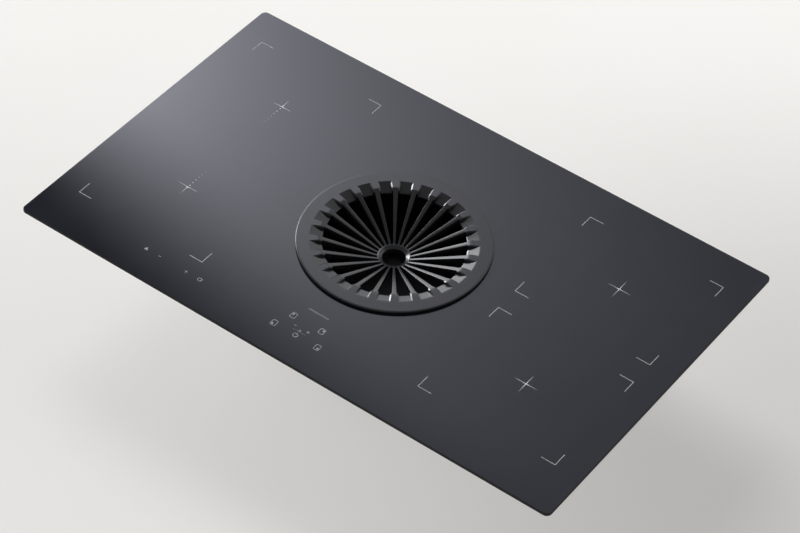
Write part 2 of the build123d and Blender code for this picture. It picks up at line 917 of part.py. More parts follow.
with BuildPart() as outlet_duct:
    add(duct_form(0.0))
    with BuildSketch(Plane.XZ.offset(-scroll_end_y)):
        with Locations((outlet_x, (scroll_bottom + plate_bottom) / 2)):
            Rectangle(
                outlet_width + 2 * (scroll_wall + housing_flange),
                plate_bottom - scroll_bottom,
            )
    extrude(amount=-housing_flange_height)
    add(duct_form(duct_wall), mode=Mode.SUBTRACT)
    with BuildSketch(Plane.XZ.offset(-(flap_y - flap_thickness / 2 - stop_gap))):
        with Locations((outlet_x, scroll_bottom + duct_wall)):
            Rectangle(
                flap_width - 2 * flap_corner, stop_height, align=(Align.CENTER, Align.MIN)
            )
    extrude(amount=duct_wall)
    with BuildSketch(Plane.YZ.offset(outlet_x)):
        with Locations((flap_y, flap_pin_level)):
            Circle(flap_pin_radius + running_gap)
    extrude(amount=duct_width, both=True, mode=Mode.SUBTRACT)
save(outlet_duct, "outlet_duct")

with BuildPart() as backdraft_flap:
    with BuildSketch(Plane.XZ.offset(-(flap_y - flap_thickness / 2))):
        with BuildLine():
            low = flap_bottom
            high = flap_pin_level
            half = flap_width / 2
            Line((outlet_x - half, high), (outlet_x - half, low + flap_corner))
            RadiusArc(
                (outlet_x - half, low + flap_corner),
                (outlet_x - half + flap_corner, low),
                -flap_corner,
            )
            Line((outlet_x - half + flap_corner, low), (outlet_x + half - flap_corner, low))
            RadiusArc(
                (outlet_x + half - flap_corner, low),
                (outlet_x + half, low + flap_corner),
                -flap_corner,
            )
            Line((outlet_x + half, low + flap_corner), (outlet_x + half, high))
            Line((outlet_x + half, high), (outlet_x - half, high))
        make_face()
    extrude(amount=-flap_thickness)
    with BuildSketch(Plane.YZ.offset(outlet_x)):
        with Locations((flap_y, flap_pin_level)):
            Circle(flap_pin_radius)
    extrude(amount=duct_width / 2, both=True)
save(backdraft_flap, "backdraft_flap")

# ---------------------------------------------------------------- motor
#
# External rotor: the can turns outside the stator and the impeller's hub sits over it.

can_bottom = motor_flange_top + motor_can_lift
can_top = can_bottom + motor_height
bearing_tube_radius = bearing_radius + bearing_tube_wall
bearing_tube_top = can_top - motor_can_wall - 2 * motor_can_lift
stator_radius = motor_radius - motor_can_wall - motor_magnet - motor_air_gap
stator_bottom = motor_flange_top + 2 * motor_can_lift
stator_top = bearing_tube_top - motor_can_lift
bearing_levels = (motor_flange_bottom, bearing_tube_top - bearing_width)

with BuildPart() as motor_stator:
    with BuildSketch(Plane.XY.offset(motor_flange_bottom)):
        Circle(motor_flange_radius)
    extrude(amount=motor_flange_thickness)
    with BuildSketch(Plane.XY.offset(motor_flange_bottom)):
        Circle(bearing_tube_radius)
    extrude(amount=bearing_tube_top - motor_flange_bottom)
    with BuildSketch(Plane.XY.offset(stator_bottom)):
        Circle(stator_radius)
        with PolarLocations((stator_radius + bearing_tube_radius) / 2, stator_slot_count):
            SlotOverall(stator_slot_length, stator_slot_width, mode=Mode.SUBTRACT)
    extrude(amount=stator_top - stator_bottom)
    with BuildSketch(Plane.XY.offset(motor_flange_bottom)):
        Circle(bearing_radius)
        for plane in mount_planes:
            with Locations((plane.origin.X, plane.origin.Y)):
                Circle(mount_radius)
    extrude(amount=bearing_tube_top - motor_flange_bottom, mode=Mode.SUBTRACT)
save(motor_stator, "motor_stator")

with BuildPart() as motor_bearings:
    for level in bearing_levels:
        with BuildSketch(Plane.XY.offset(level)):
            Circle(bearing_radius)
            Circle(motor_shaft_radius + running_gap, mode=Mode.SUBTRACT)
        extrude(amount=bearing_width)
save(motor_bearings, "motor_bearings")

impeller_hub_wall = 1.5
hub_dome_top = can_top + running_gap + impeller_hub_wall

with BuildPart() as motor_rotor:
    with BuildSketch(Plane.XZ):
        with BuildLine():
            Polyline(
                (0, motor_flange_bottom),
                (motor_shaft_radius, motor_flange_bottom),
                (motor_shaft_radius, can_top - motor_can_wall),
                (motor_radius - motor_can_wall, can_top - motor_can_wall),
                (motor_radius - motor_can_wall, stator_top),
                (motor_radius - motor_can_wall - motor_magnet, stator_top),
                (motor_radius - motor_can_wall - motor_magnet, stator_bottom),
                (motor_radius - motor_can_wall, stator_bottom),
                (motor_radius - motor_can_wall, can_bottom),
                (motor_radius, can_bottom),
                (motor_radius, can_top),
                (motor_shaft_radius, can_top),
                (motor_shaft_radius, hub_dome_top + nut_height),
                (0, hub_dome_top + nut_height),
                close=True,
            )
        make_face()
    revolve(axis=Axis.Z)
save(motor_rotor, "motor_rotor")

with BuildPart() as motor_mounts:
    for plane in mount_planes:
        with BuildSketch(Plane(origin=(plane.origin.X, plane.origin.Y, scroll_floor))):
            Circle(mount_radius + mount_collar)
        extrude(amount=mount_height)
        with BuildSketch(Plane(origin=(plane.origin.X, plane.origin.Y, scroll_floor))):
            Circle(mount_radius - running_gap)
        extrude(amount=mount_height + motor_flange_thickness)
        with BuildSketch(Plane(origin=(plane.origin.X, plane.origin.Y, motor_flange_top))):
            Circle(mount_radius + mount_collar)
        extrude(amount=mount_upper_height)
        with BuildSketch(Plane(origin=(plane.origin.X, plane.origin.Y, scroll_floor))):
            Circle(screw_radius + running_gap)
        extrude(
            amount=mount_height + motor_flange_thickness + mount_upper_height,
            mode=Mode.SUBTRACT,
        )
save(motor_mounts, "motor_mounts")

# ---------------------------------------------------------------- impeller
#
# Backward-curved blades stand on a back plate, under a shroud that falls towards the rim.

back_plate_top = impeller_bottom + impeller_plate
hub_bore = motor_radius + running_gap
hub_outer = hub_bore + impeller_hub_wall
shroud_rim = impeller_top - shroud_fall
blade_eye_top = impeller_top - shroud_fall

with BuildPart(mode=Mode.PRIVATE) as blade:
    with BuildSketch(Plane.XY.offset(impeller_bottom + impeller_plate / 2)):
        with BuildLine() as camber:
            root = (blade_inner_radius, 0)
            tip_radius = impeller_radius - blade_thickness / 2
            tip = (
                tip_radius * math.cos(math.radians(blade_sweep)),
                -tip_radius * math.sin(math.radians(blade_sweep)),
            )
            SagittaArc(root, tip, blade_inner_radius / 6)
        trace(line_width=blade_thickness)
    extrude(amount=impeller_height)
    with BuildSketch(Plane.XZ):
        with BuildLine():
            Polyline(
                (hub_outer - impeller_hub_wall / 2, impeller_bottom),
                (hub_outer - impeller_hub_wall / 2, blade_eye_top),
                (shroud_eye_radius, impeller_top - shroud_thickness / 2),
                (impeller_radius, shroud_rim - shroud_thickness / 2),
                (impeller_radius, impeller_bottom),
                close=True,
            )
        make_face()
    revolve(axis=Axis.Z, mode=Mode.INTERSECT)

with BuildPart() as impeller:
    with BuildSketch(Plane.XZ):
        with BuildLine():
            Polyline(
                (hub_bore, impeller_bottom),
                (impeller_radius, impeller_bottom),
                (impeller_radius, back_plate_top),
                (hub_outer, back_plate_top),
                (hub_outer, hub_dome_top),
                (motor_shaft_radius + running_gap, hub_dome_top),
                (motor_shaft_radius + running_gap, can_top + running_gap),
                (hub_bore, can_top + running_gap),
                close=True,
            )
        make_face()
        with BuildLine():
            Polyline(
                (shroud_eye_radius, impeller_top),
                (impeller_radius, shroud_rim),
                (impeller_radius, shroud_rim - shroud_thickness),
                (shroud_eye_radius, impeller_top - shroud_thickness),
                close=True,
            )
        make_face()
    revolve(axis=Axis.Z)
    for index in range(blade_count):
        add(blade.part.rotate(Axis.Z, 360.0 / blade_count * index))
save(impeller, "impeller")

with BuildPart() as impeller_nut:
    with BuildSketch(Plane.XY.offset(hub_dome_top)):
        RegularPolygon(nut_radius, 6)
        Circle(motor_shaft_radius + running_gap, mode=Mode.SUBTRACT)
    extrude(amount=nut_height)
save(impeller_nut, "impeller_nut")


# ---------------------------------------------------------------- hangers

hanger_upper_planes = on_circle(
    hanger_screw_radius, hanger_angles, casing_bottom - hanger_sheet
)
with BuildPart() as hanger_brackets:
    for plane in on_circle(0.0, hanger_angles, 0.0):
        side = Plane(origin=plane.origin, x_dir=plane.x_dir, z_dir=-plane.y_dir)
        with BuildSketch(side):
            with BuildLine():
                inner = hanger_radius
                outer = hanger_radius + hanger_sheet
                Polyline(
                    (inner - hanger_foot, plate_top),
                    (outer, plate_top),
                    (outer, casing_bottom - hanger_sheet),
                    (outer + hanger_foot, casing_bottom - hanger_sheet),
                    (outer + hanger_foot, casing_bottom),
                    (inner, casing_bottom),
                    (inner, plate_top + hanger_sheet),
                    (inner - hanger_foot, plate_top + hanger_sheet),
                    close=True,
                )
            make_face()
        extrude(amount=hanger_width / 2, both=True)
    for plane in hanger_upper_planes:
        with BuildSketch(plane):
            Circle(screw_radius + running_gap)
        extrude(amount=hanger_sheet, mode=Mode.SUBTRACT)
    for plane in hanger_lower_planes:
        with BuildSketch(plane):
            Circle(screw_radius + running_gap)
        extrude(amount=hanger_sheet, mode=Mode.SUBTRACT)
save(hanger_brackets, "hanger_brackets")

# every screw: around the casing, through the blower's cover, into its motor mounts and
# through the hangers
with BuildPart() as fixing_screws:
    for plane in screw_planes:
        add(screw(plane, screw_reach))
    for plane in plate_screws:
        add(screw(plane, plate_screw_reach))
    for plane in mount_planes:
        add(screw(plane, mount_screw_reach))
    for plane in hanger_upper_planes:
        below = Plane(origin=plane.origin, z_dir=(0, 0, -1))
        add(screw(below, hanger_sheet + casing_sheet + screw_radius))
    for plane in hanger_lower_planes:
        add(screw(plane.offset(hanger_sheet), hanger_sheet + plate_thickness))
save(fixing_screws, "fixing_screws")

# ---------------------------------------------------------------- cooking zones
#
# Under the glass, from the top: a mica sheet, the flat winding, its carrier with eight
# radial ferrite bars, and an aluminium support plate that stands on the casing floor.

winding_top = glass_bottom - mica_thickness
winding_bottom = winding_top - coil_thickness
arm_top = winding_bottom - carrier_disc
arm_length = carrier_radius - coil_hole_radius
arm_centre = (carrier_radius + coil_hole_radius) / 2
ferrite_centre = arm_centre
ferrite_fit = 0.1

for zone, centre in zones.items():
    with BuildPart() as coil_winding:
        with BuildSketch(Plane.XY.offset(winding_bottom)):
            with Locations(centre):
                Circle(coil_radius)
                Circle(coil_split_radius + coil_split_gap, mode=Mode.SUBTRACT)
                Circle(coil_split_radius)
                Circle(coil_hole_radius, mode=Mode.SUBTRACT)
        extrude(amount=coil_thickness)
    save(coil_winding, f"coil_winding_{zone}")

    with BuildPart() as coil_carrier:
        with BuildSketch(Plane.XY.offset(arm_top)):
            with Locations(centre):
                Circle(carrier_radius)
                Circle(sensor_radius + running_gap, mode=Mode.SUBTRACT)
                with PolarLocations((carrier_radius + coil_hole_radius) / 2, ferrite_count, 22.5):
                    SlotOverall(arm_length / 2, carrier_arm_width, mode=Mode.SUBTRACT)
        extrude(amount=carrier_disc)
        with BuildSketch(Plane.XY.offset(support_top)):
            with Locations(centre):
                with PolarLocations(arm_centre, ferrite_count):
                    Rectangle(arm_length, carrier_arm_width)
                    Rectangle(
                        ferrite_length + 2 * ferrite_fit,
                        ferrite_width + 2 * ferrite_fit,
                        mode=Mode.SUBTRACT,
                    )
        extrude(amount=carrier_arm_height)
    save(coil_carrier, f"coil_carrier_{zone}")

with BuildPart() as mica_sheets:
    with BuildSketch(Plane.XY.offset(winding_top)):
        with Locations(*zones.values()):
            Circle(coil_radius + mica_margin)
            Circle(sensor_radius + running_gap, mode=Mode.SUBTRACT)
    extrude(amount=mica_thickness)
save(mica_sheets, "mica_sheets")

with BuildPart() as ferrite_bars:
    with BuildSketch(Plane.XY.offset(support_top)):
        for centre in zones.values():
            with Locations(centre):
                with PolarLocations(ferrite_centre, ferrite_count):
                    Rectangle(ferrite_length, ferrite_width)
    extrude(amount=carrier_arm_height)
save(ferrite_bars, "ferrite_bars")

with BuildPart() as coil_sensors:
    with BuildSketch(Plane.XY.offset(support_top)):
        with Locations(*zones.values()):
            Circle(sensor_radius)
    extrude(amount=glass_bottom - support_top)
save(coil_sensors, "coil_sensors")

# ---------------------------------------------------------------- supports and electronics

support_width = support_outer_x - support_inner_x
support_centre_x = (support_outer_x + support_inner_x) / 2
standoff_inset = 8.0
heatsink_top_gap = 1.0
heatsink_height = support_top - support_sheet - heatsink_top_gap - board_top

for side, sign in sides.items():
    with BuildPart() as coil_support:
        with BuildSketch(Plane.XY.offset(support_top)):
            with Locations((sign * support_centre_x, 0)):
                Rectangle(support_width, 2 * support_half_depth)
            for zone_side, zone_front in zones.values():
                if zone_side * sign > 0:
                    with Locations((zone_side, zone_front)):
                        Circle(sensor_radius - support_sheet, mode=Mode.SUBTRACT)
        extrude(amount=-support_sheet)
        with BuildSketch(Plane.XY.offset(casing_floor)):
            for end in (-1, 1):
                with Locations(
                    (sign * support_centre_x, end * (support_half_depth - support_sheet / 2))
                ):
                    Rectangle(support_width - 2 * support_leg_inset, support_sheet)
        extrude(amount=support_top - casing_floor)
    save(coil_support, f"coil_support_{side}")

capacitor_radius = 12.0
capacitor_height = 22.0
connector_height = 10.0
heatsink_shift = 45.0

for side, sign in sides.items():
    board_x = sign * board_centre_x
    with BuildPart() as inverter_board:
        with BuildSketch(Plane.XY.offset(board_bottom)):
            with Locations((board_x, board_centre_y)):
                Rectangle(board_width, board_depth)
        extrude(amount=board_thickness)
        with BuildSketch(Plane.XY.offset(casing_floor)):
            with Locations((board_x, board_centre_y)):
                with GridLocations(
                    board_width - 2 * standoff_inset, board_depth - 2 * standoff_inset, 2, 2
                ):
                    Circle(standoff_radius)
        extrude(amount=board_standoff)
        with BuildSketch(Plane.XY.offset(board_top)):
            with Locations((board_x - board_width / 4, board_centre_y + board_depth / 4)):
                with GridLocations(3 * capacitor_radius, 0, 2, 1):
                    Circle(capacitor_radius)
        extrude(amount=capacitor_height)
        with BuildSketch(Plane.XY.offset(board_top)):
            with Locations((board_x + board_width / 4, board_centre_y + board_depth / 4)):
                RectangleRounded(board_width / 4, board_depth / 5, standoff_radius)
        extrude(amount=capacitor_height)
        with BuildSketch(Plane.XY.offset(board_top)):
            with Locations((board_x, board_centre_y + board_depth / 2 - standoff_inset)):
                with GridLocations(board_width / 4, 0, 3, 1):
                    Rectangle(board_width / 8, connector_height)
        extrude(amount=connector_height)
    save(inverter_board, f"inverter_board_{side}")

    heatsink_y = board_centre_y - heatsink_shift
    fin_gap = (heatsink_width - heatsink_fin) / (heatsink_fin_count - 1)
    with BuildPart() as heatsink:
        with BuildSketch(Plane.XY.offset(board_top)):
            with Locations((board_x, heatsink_y)):
                Rectangle(heatsink_width, heatsink_depth)
        extrude(amount=heatsink_base)
        with BuildSketch(Plane.XY.offset(board_top + heatsink_base)):
            with Locations((board_x, heatsink_y)):
                with GridLocations(fin_gap, 0, heatsink_fin_count, 1):
                    Rectangle(heatsink_fin, heatsink_depth)
        extrude(amount=heatsink_height - heatsink_base)
    save(heatsink, f"heatsink_{side}")

# Each cooler is an axial fan that stands on the casing floor over its vent slots.
cooler_base = 2.0
cooler_boss_radius = 5.0
cooler_boss_height = 5.0
cooler_spider = 5.0
cooler_hub_bottom = casing_floor + cooler_boss_height + motor_air_gap
cooler_hub_top = casing_floor + cooler_height - motor_air_gap
cooler_pitch = 40.0

for side, sign in sides.items():
    place = (sign * cooler_x, cooler_y)
    with BuildPart() as cooler_frame:
        with BuildSketch(Plane.XY.offset(casing_floor)):
            with Locations(place):
                RectangleRounded(cooler_size, cooler_size, standoff_radius)
                Circle(cooler_bore, mode=Mode.SUBTRACT)
        extrude(amount=cooler_height)
        with BuildSketch(Plane.XY.offset(casing_floor)):
            with Locations(place):
                Rectangle(2 * cooler_bore + cooler_base, cooler_spider)
                Rectangle(cooler_spider, 2 * cooler_bore + cooler_base)
                Circle(cooler_hub_radius)
        extrude(amount=cooler_base)
        with BuildSketch(Plane.XY.offset(casing_floor)):
            with Locations(place):
                Circle(cooler_boss_radius)
        extrude(amount=cooler_boss_height)
        with BuildSketch(Plane.XY.offset(casing_floor + cooler_base / 2)):
            with Locations(place):
                Circle(cooler_shaft_radius + running_gap)
        extrude(amount=cooler_boss_height, mode=Mode.SUBTRACT)
    save(cooler_frame, f"cooler_frame_{side}")

    with BuildPart() as cooler_rotor:
        with BuildSketch(Plane.XY.offset(cooler_hub_bottom)):
            with Locations(place):
                Circle(cooler_hub_radius)
        extrude(amount=cooler_hub_top - cooler_hub_bottom)
        with BuildSketch(Plane.XY.offset(casing_floor + cooler_base)):
            with Locations(place):
                Circle(cooler_shaft_radius)
        extrude(amount=cooler_hub_bottom - casing_floor - cooler_base)
        for index in range(cooler_blade_count):
            # each blade stands radially and is pitched about its own length
            turn = 360.0 / cooler_blade_count * index
            root = Plane(
                origin=(place[0], place[1], (cooler_hub_bottom + cooler_hub_top) / 2),
                x_dir=(-math.sin(math.radians(turn)), math.cos(math.radians(turn)), 0),
                z_dir=(math.cos(math.radians(turn)), math.sin(math.radians(turn)), 0),
            )
            with BuildSketch(root.offset(cooler_hub_radius - cooler_base)):
                Rectangle(cooler_base * 7, cooler_base / 2, rotation=cooler_pitch)
            extrude(amount=cooler_rotor_radius - cooler_hub_radius + cooler_base)
    save(cooler_rotor, f"cooler_rotor_{side}")

# Touch boards hang under the glass on a frame that is glued to it.
touch_boards = {
    "touch_board_main": (0.0, main_touch_y, main_touch_width, main_touch_depth),
    "touch_board_extraction": (side_touch_x, side_touch_y, side_touch_width, side_touch_depth),
}
touch_frame_wall = 2.0
for name, (x, y, width, depth) in touch_boards.items():
    with BuildPart() as touch_board:
        with BuildSketch(Plane.XY.offset(glass_bottom - touch_board_gap)):
            with Locations((x, y)):
                Rectangle(width, depth)
        extrude(amount=-board_thickness)
        with BuildSketch(Plane.XY.offset(glass_bottom - touch_board_gap)):
            with Locations((x, y)):
                Rectangle(width, depth)
                Rectangle(
                    width - 2 * touch_frame_wall, depth - 2 * touch_frame_wall, mode=Mode.SUBTRACT
                )
        extrude(amount=touch_board_gap)
    save(touch_board, name)

# ---------------------------------------------------------------- fan control box

with BuildPart() as fan_control_box:
    with BuildSketch(Plane.XY.offset(casing_bottom)):
        with Locations((fan_box_x, fan_box_y)):
            RectangleRounded(fan_box_width, fan_box_depth, 2 * fan_box_wall)
    extrude(amount=-fan_box_height)
    with BuildSketch(Plane.XY.offset(casing_bottom - fan_box_wall)):
        with Locations((fan_box_x, fan_box_y)):
            RectangleRounded(
                fan_box_width - 2 * fan_box_wall, fan_box_depth - 2 * fan_box_wall, fan_box_wall
            )
    extrude(amount=-fan_box_height, mode=Mode.SUBTRACT)
save(fan_control_box, "fan_control_box")

with BuildPart() as fan_control_lid:
    with BuildSketch(Plane.XY.offset(casing_bottom - fan_box_height)):
        with Locations((fan_box_x, fan_box_y)):
            RectangleRounded(fan_box_width, fan_box_depth, 2 * fan_box_wall)
    extrude(amount=-fan_lid_thickness)
    fillet(fan_control_lid.edges().group_by(Axis.Z)[0], radius=fan_lid_thickness / 2)
    with BuildSketch(Plane.XY.offset(casing_bottom - fan_box_height)):
        with Locations((fan_box_x, fan_box_y)):
            RectangleRounded(
                fan_box_width - 2 * (fan_box_wall + clamp_gap),
                fan_box_depth - 2 * (fan_box_wall + clamp_gap),
                fan_box_wall - clamp_gap,
            )
            RectangleRounded(
                fan_box_width - 4 * fan_box_wall,
                fan_box_depth - 4 * fan_box_wall,
                fan_box_wall / 2,
                mode=Mode.SUBTRACT,
            )
    extrude(amount=fan_lid_thickness)
save(fan_control_lid, "fan_control_lid")

# ---------------------------------------------------------------- mains terminal box
#
# The box opens to the back.  Its cover hangs on a pin between two lugs and swings up.

terminal_left = terminal_box_x - terminal_box_width / 2
terminal_right = terminal_box_x + terminal_box_width / 2
terminal_back = terminal_box_y + terminal_box_depth / 2
terminal_bottom = casing_bottom - terminal_box_height
cover_y = terminal_back + terminal_cover_gap
pin_y = cover_y + terminal_barrel_radius
pin_level = casing_bottom - terminal_barrel_radius - 1.0
gland_level = casing_bottom - terminal_box_height / 2
gland_outer_radius = gland_radius + gland_wall

with BuildPart() as terminal_box:
    with BuildSketch(Plane.XY.offset(casing_bottom)):
        with Locations((terminal_box_x, terminal_box_y)):
            Rectangle(terminal_box_width, terminal_box_depth)
    extrude(amount=-terminal_box_height)
    with BuildSketch(Plane.XZ.offset(-terminal_back)):
        with Locations((terminal_box_x, casing_bottom - terminal_box_height / 2)):
            Rectangle(
                terminal_box_width - 2 * terminal_box_wall,
                terminal_box_height - 2 * terminal_box_wall,
            )
    extrude(amount=terminal_box_depth - terminal_box_wall, mode=Mode.SUBTRACT)
    for lug_side in (terminal_left, terminal_right - terminal_lug):
        with BuildSketch(Plane.YZ.offset(lug_side)):
            with Locations((pin_y, pin_level)):
                Circle(terminal_barrel_radius)
            with Locations((pin_y, pin_level)):
                Rectangle(
                    pin_y - terminal_back + terminal_box_wall,
                    2 * terminal_barrel_radius,
                    align=(Align.MAX, Align.CENTER),
                )
            with Locations((pin_y, pin_level)):
                Circle(terminal_pin_radius + running_gap, mode=Mode.SUBTRACT)
        extrude(amount=terminal_lug)
    with BuildSketch(Plane.YZ.offset(terminal_right)):
        with Locations((terminal_box_y, gland_level)):
            Circle(gland_outer_radius)
    extrude(amount=-terminal_box_wall, mode=Mode.SUBTRACT)
save(terminal_box, "terminal_box")

with BuildPart() as terminal_cover:
    with BuildSketch(Plane.YZ.offset(terminal_left + terminal_lug + terminal_cover_gap)):
        with BuildLine():
            Polyline(
                (cover_y, pin_level),
                (cover_y, terminal_bottom),
                (cover_y + terminal_cover_thickness, terminal_bottom),
                (cover_y + terminal_cover_thickness, pin_level),
                close=True,
            )
        make_face()
        with Locations((pin_y, pin_level)):
            Circle(terminal_barrel_radius)
    extrude(amount=terminal_box_width - 2 * (terminal_lug + terminal_cover_gap))
    with BuildSketch(Plane.YZ.offset(terminal_left)):
        with Locations((pin_y, pin_level)):
            Circle(terminal_pin_radius)
    extrude(amount=terminal_box_width)
    with BuildSketch(Plane.XZ.offset(-cover_y)):
        with Locations((terminal_box_x, terminal_bottom)):
            Rectangle(
                terminal_box_width,
                terminal_box_height - 2 * (terminal_barrel_radius + 1.0),
                align=(Align.CENTER, Align.MIN),
            )
    extrude(amount=-terminal_cover_thickness)
save(terminal_cover, "terminal_cover")

block_top = casing_bottom - terminal_box_wall
with BuildPart() as terminal_block:
    with BuildSketch(Plane.XY.offset(block_top)):
        with Locations((terminal_box_x, terminal_box_y)):
            Rectangle(terminal_count * terminal_pitch, terminal_block_depth)
    extrude(amount=-terminal_block_height)
    with BuildSketch(Plane.XZ.offset(-(terminal_box_y + terminal_block_depth / 2))):
        with Locations((terminal_box_x, block_top - terminal_block_height / 2)):
            with GridLocations(terminal_pitch, 0, terminal_count, 1):
                Circle(terminal_bore)
    extrude(amount=terminal_block_depth / 2, mode=Mode.SUBTRACT)
save(terminal_block, "terminal_block")

with BuildPart() as cable_gland:
    with BuildSketch(Plane.YZ.offset(terminal_right - terminal_box_wall)):
        with Locations((terminal_box_y, gland_level)):
            Circle(gland_outer_radius)
    extrude(amount=gland_length)
    with BuildSketch(Plane.YZ.offset(terminal_right)):
        with Locations((terminal_box_y, gland_level)):
            RegularPolygon(gland_outer_radius + gland_collar, 6)
    extrude(amount=gland_length / 4)
    with BuildSketch(Plane.YZ.offset(terminal_right - terminal_box_wall)):
        with Locations((terminal_box_y, gland_level)):
            Circle(gland_radius)
    extrude(amount=gland_length, mode=Mode.SUBTRACT)
save(cable_gland, "cable_gland")

# ---------------------------------------------------------------- worktop clamps
#
# Four arms lie folded under the casing and swing out under the worktop's cut edge.

clamp_top = casing_bottom - clamp_gap - clamp_boss_height
clamp_bottom = clamp_top - clamp_sheet
clamp_boss_radius = clamp_width / 2
clamp_reach = clamp_length - clamp_width
clamp_bore = clamp_pivot_radius + running_gap

for corner, (x_sign, y_sign) in clamp_places.items():
    pivot = (x_sign * clamp_x, y_sign * clamp_y)
    tip = (pivot[0] - x_sign * clamp_reach, pivot[1])
    with BuildPart() as worktop_clamp:
        with BuildSketch(Plane.XY.offset(clamp_bottom)):
            with Locations(((pivot[0] + tip[0]) / 2, pivot[1])):
                SlotOverall(clamp_length, clamp_width)
            with Locations(pivot):
                Circle(clamp_bore, mode=Mode.SUBTRACT)
            with Locations(tip):
                Circle(clamp_jack_radius + running_gap, mode=Mode.SUBTRACT)
        extrude(amount=clamp_sheet)
        with BuildSketch(Plane.XY.offset(clamp_top)):
            with Locations(pivot):
                Circle(clamp_boss_radius)
                Circle(clamp_bore, mode=Mode.SUBTRACT)
        extrude(amount=clamp_boss_height)
        with BuildSketch(Plane.XY.offset(clamp_bottom)):
            with Locations(tip):
                Circle(clamp_jack_head)
        extrude(amount=-clamp_jack_head_height)
        with BuildSketch(Plane.XY.offset(clamp_bottom)):
            with Locations(tip):
                Circle(clamp_jack_radius)
        extrude(amount=clamp_sheet + clamp_jack_lift)
    save(worktop_clamp, f"worktop_clamp_{corner}")

with BuildPart() as clamp_pivots:
    for x_sign, y_sign in clamp_places.values():
        pivot = (x_sign * clamp_x, y_sign * clamp_y)
        with BuildSketch(Plane.XY.offset(casing_floor)):
            with Locations(pivot):
                Circle(clamp_pivot_head)
        extrude(amount=clamp_pivot_head_height)
        with BuildSketch(Plane.XY.offset(casing_floor)):
            with Locations(pivot):
                Circle(clamp_pivot_radius)
        extrude(amount=clamp_bottom - clamp_gap - casing_floor)
        with BuildSketch(Plane.XY.offset(clamp_bottom - clamp_gap)):
            with Locations(pivot):
                Circle(clamp_pivot_head)
        extrude(amount=-clamp_pivot_head_height)
save(clamp_pivots, "clamp_pivots")
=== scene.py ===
# %% [markdown]
# # A downdraft induction cooktop, dressed for its picture
#
# The cooktop is a black glass plate that drops into a kitchen worktop. Four coils under the
# glass heat the pans, and a cast grille in the middle covers a throat through which a fan below
# pulls the cooking vapour down. Its exact solids were made in CAD and packed as a fixed frame.
# This file loads that frame, gives every solid a finish, models the few pieces whose soft edges
# matter in the picture, and sets up a camera and a plain studio.
#
# Everything is in metres. The worktop's surface is the plane z = 0, X runs to the cook's right
# and Y runs away from the cook.

import json
import math

import bpy
import numpy as np
from mathutils import Matrix, Vector


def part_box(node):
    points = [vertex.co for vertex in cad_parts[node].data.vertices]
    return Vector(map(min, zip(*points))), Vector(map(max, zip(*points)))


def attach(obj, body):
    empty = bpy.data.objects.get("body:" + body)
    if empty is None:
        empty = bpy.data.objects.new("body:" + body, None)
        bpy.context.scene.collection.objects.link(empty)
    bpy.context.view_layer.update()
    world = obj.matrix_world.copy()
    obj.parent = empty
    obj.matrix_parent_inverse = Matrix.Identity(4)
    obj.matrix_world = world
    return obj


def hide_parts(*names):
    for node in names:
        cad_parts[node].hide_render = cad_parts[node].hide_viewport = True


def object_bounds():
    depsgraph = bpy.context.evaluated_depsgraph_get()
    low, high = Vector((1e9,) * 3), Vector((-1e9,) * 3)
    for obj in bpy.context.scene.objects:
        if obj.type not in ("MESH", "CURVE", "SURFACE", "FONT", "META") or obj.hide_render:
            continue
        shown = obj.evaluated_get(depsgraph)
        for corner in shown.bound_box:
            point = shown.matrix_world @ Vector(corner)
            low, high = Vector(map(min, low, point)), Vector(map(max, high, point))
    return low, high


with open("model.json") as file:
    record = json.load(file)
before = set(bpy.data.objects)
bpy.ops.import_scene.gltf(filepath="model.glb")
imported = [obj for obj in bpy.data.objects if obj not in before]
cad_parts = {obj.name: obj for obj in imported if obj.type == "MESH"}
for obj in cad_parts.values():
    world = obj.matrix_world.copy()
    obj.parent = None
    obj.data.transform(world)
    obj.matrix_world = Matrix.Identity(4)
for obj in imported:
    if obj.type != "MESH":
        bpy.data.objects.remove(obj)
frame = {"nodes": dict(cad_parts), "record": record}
cad_low, cad_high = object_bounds()
nodes = frame["nodes"]
print("its box runs from", [round(v, 4) for v in cad_low], "to", [round(v, 4) for v in cad_high])

# %% [markdown]
# ## A small language for finishes
#
# A finish is a graph of shader nodes. Wiring it by hand takes three lines for each sum, so one
# small class wraps a socket and lets Python's own operators add the Math nodes: `1 - mask * 0.4`
# then reads like the formula it is. Colours and vectors go through Mix and Vector Math nodes,
# because a Math node would turn a colour grey. Any other node comes from one method, `node`.

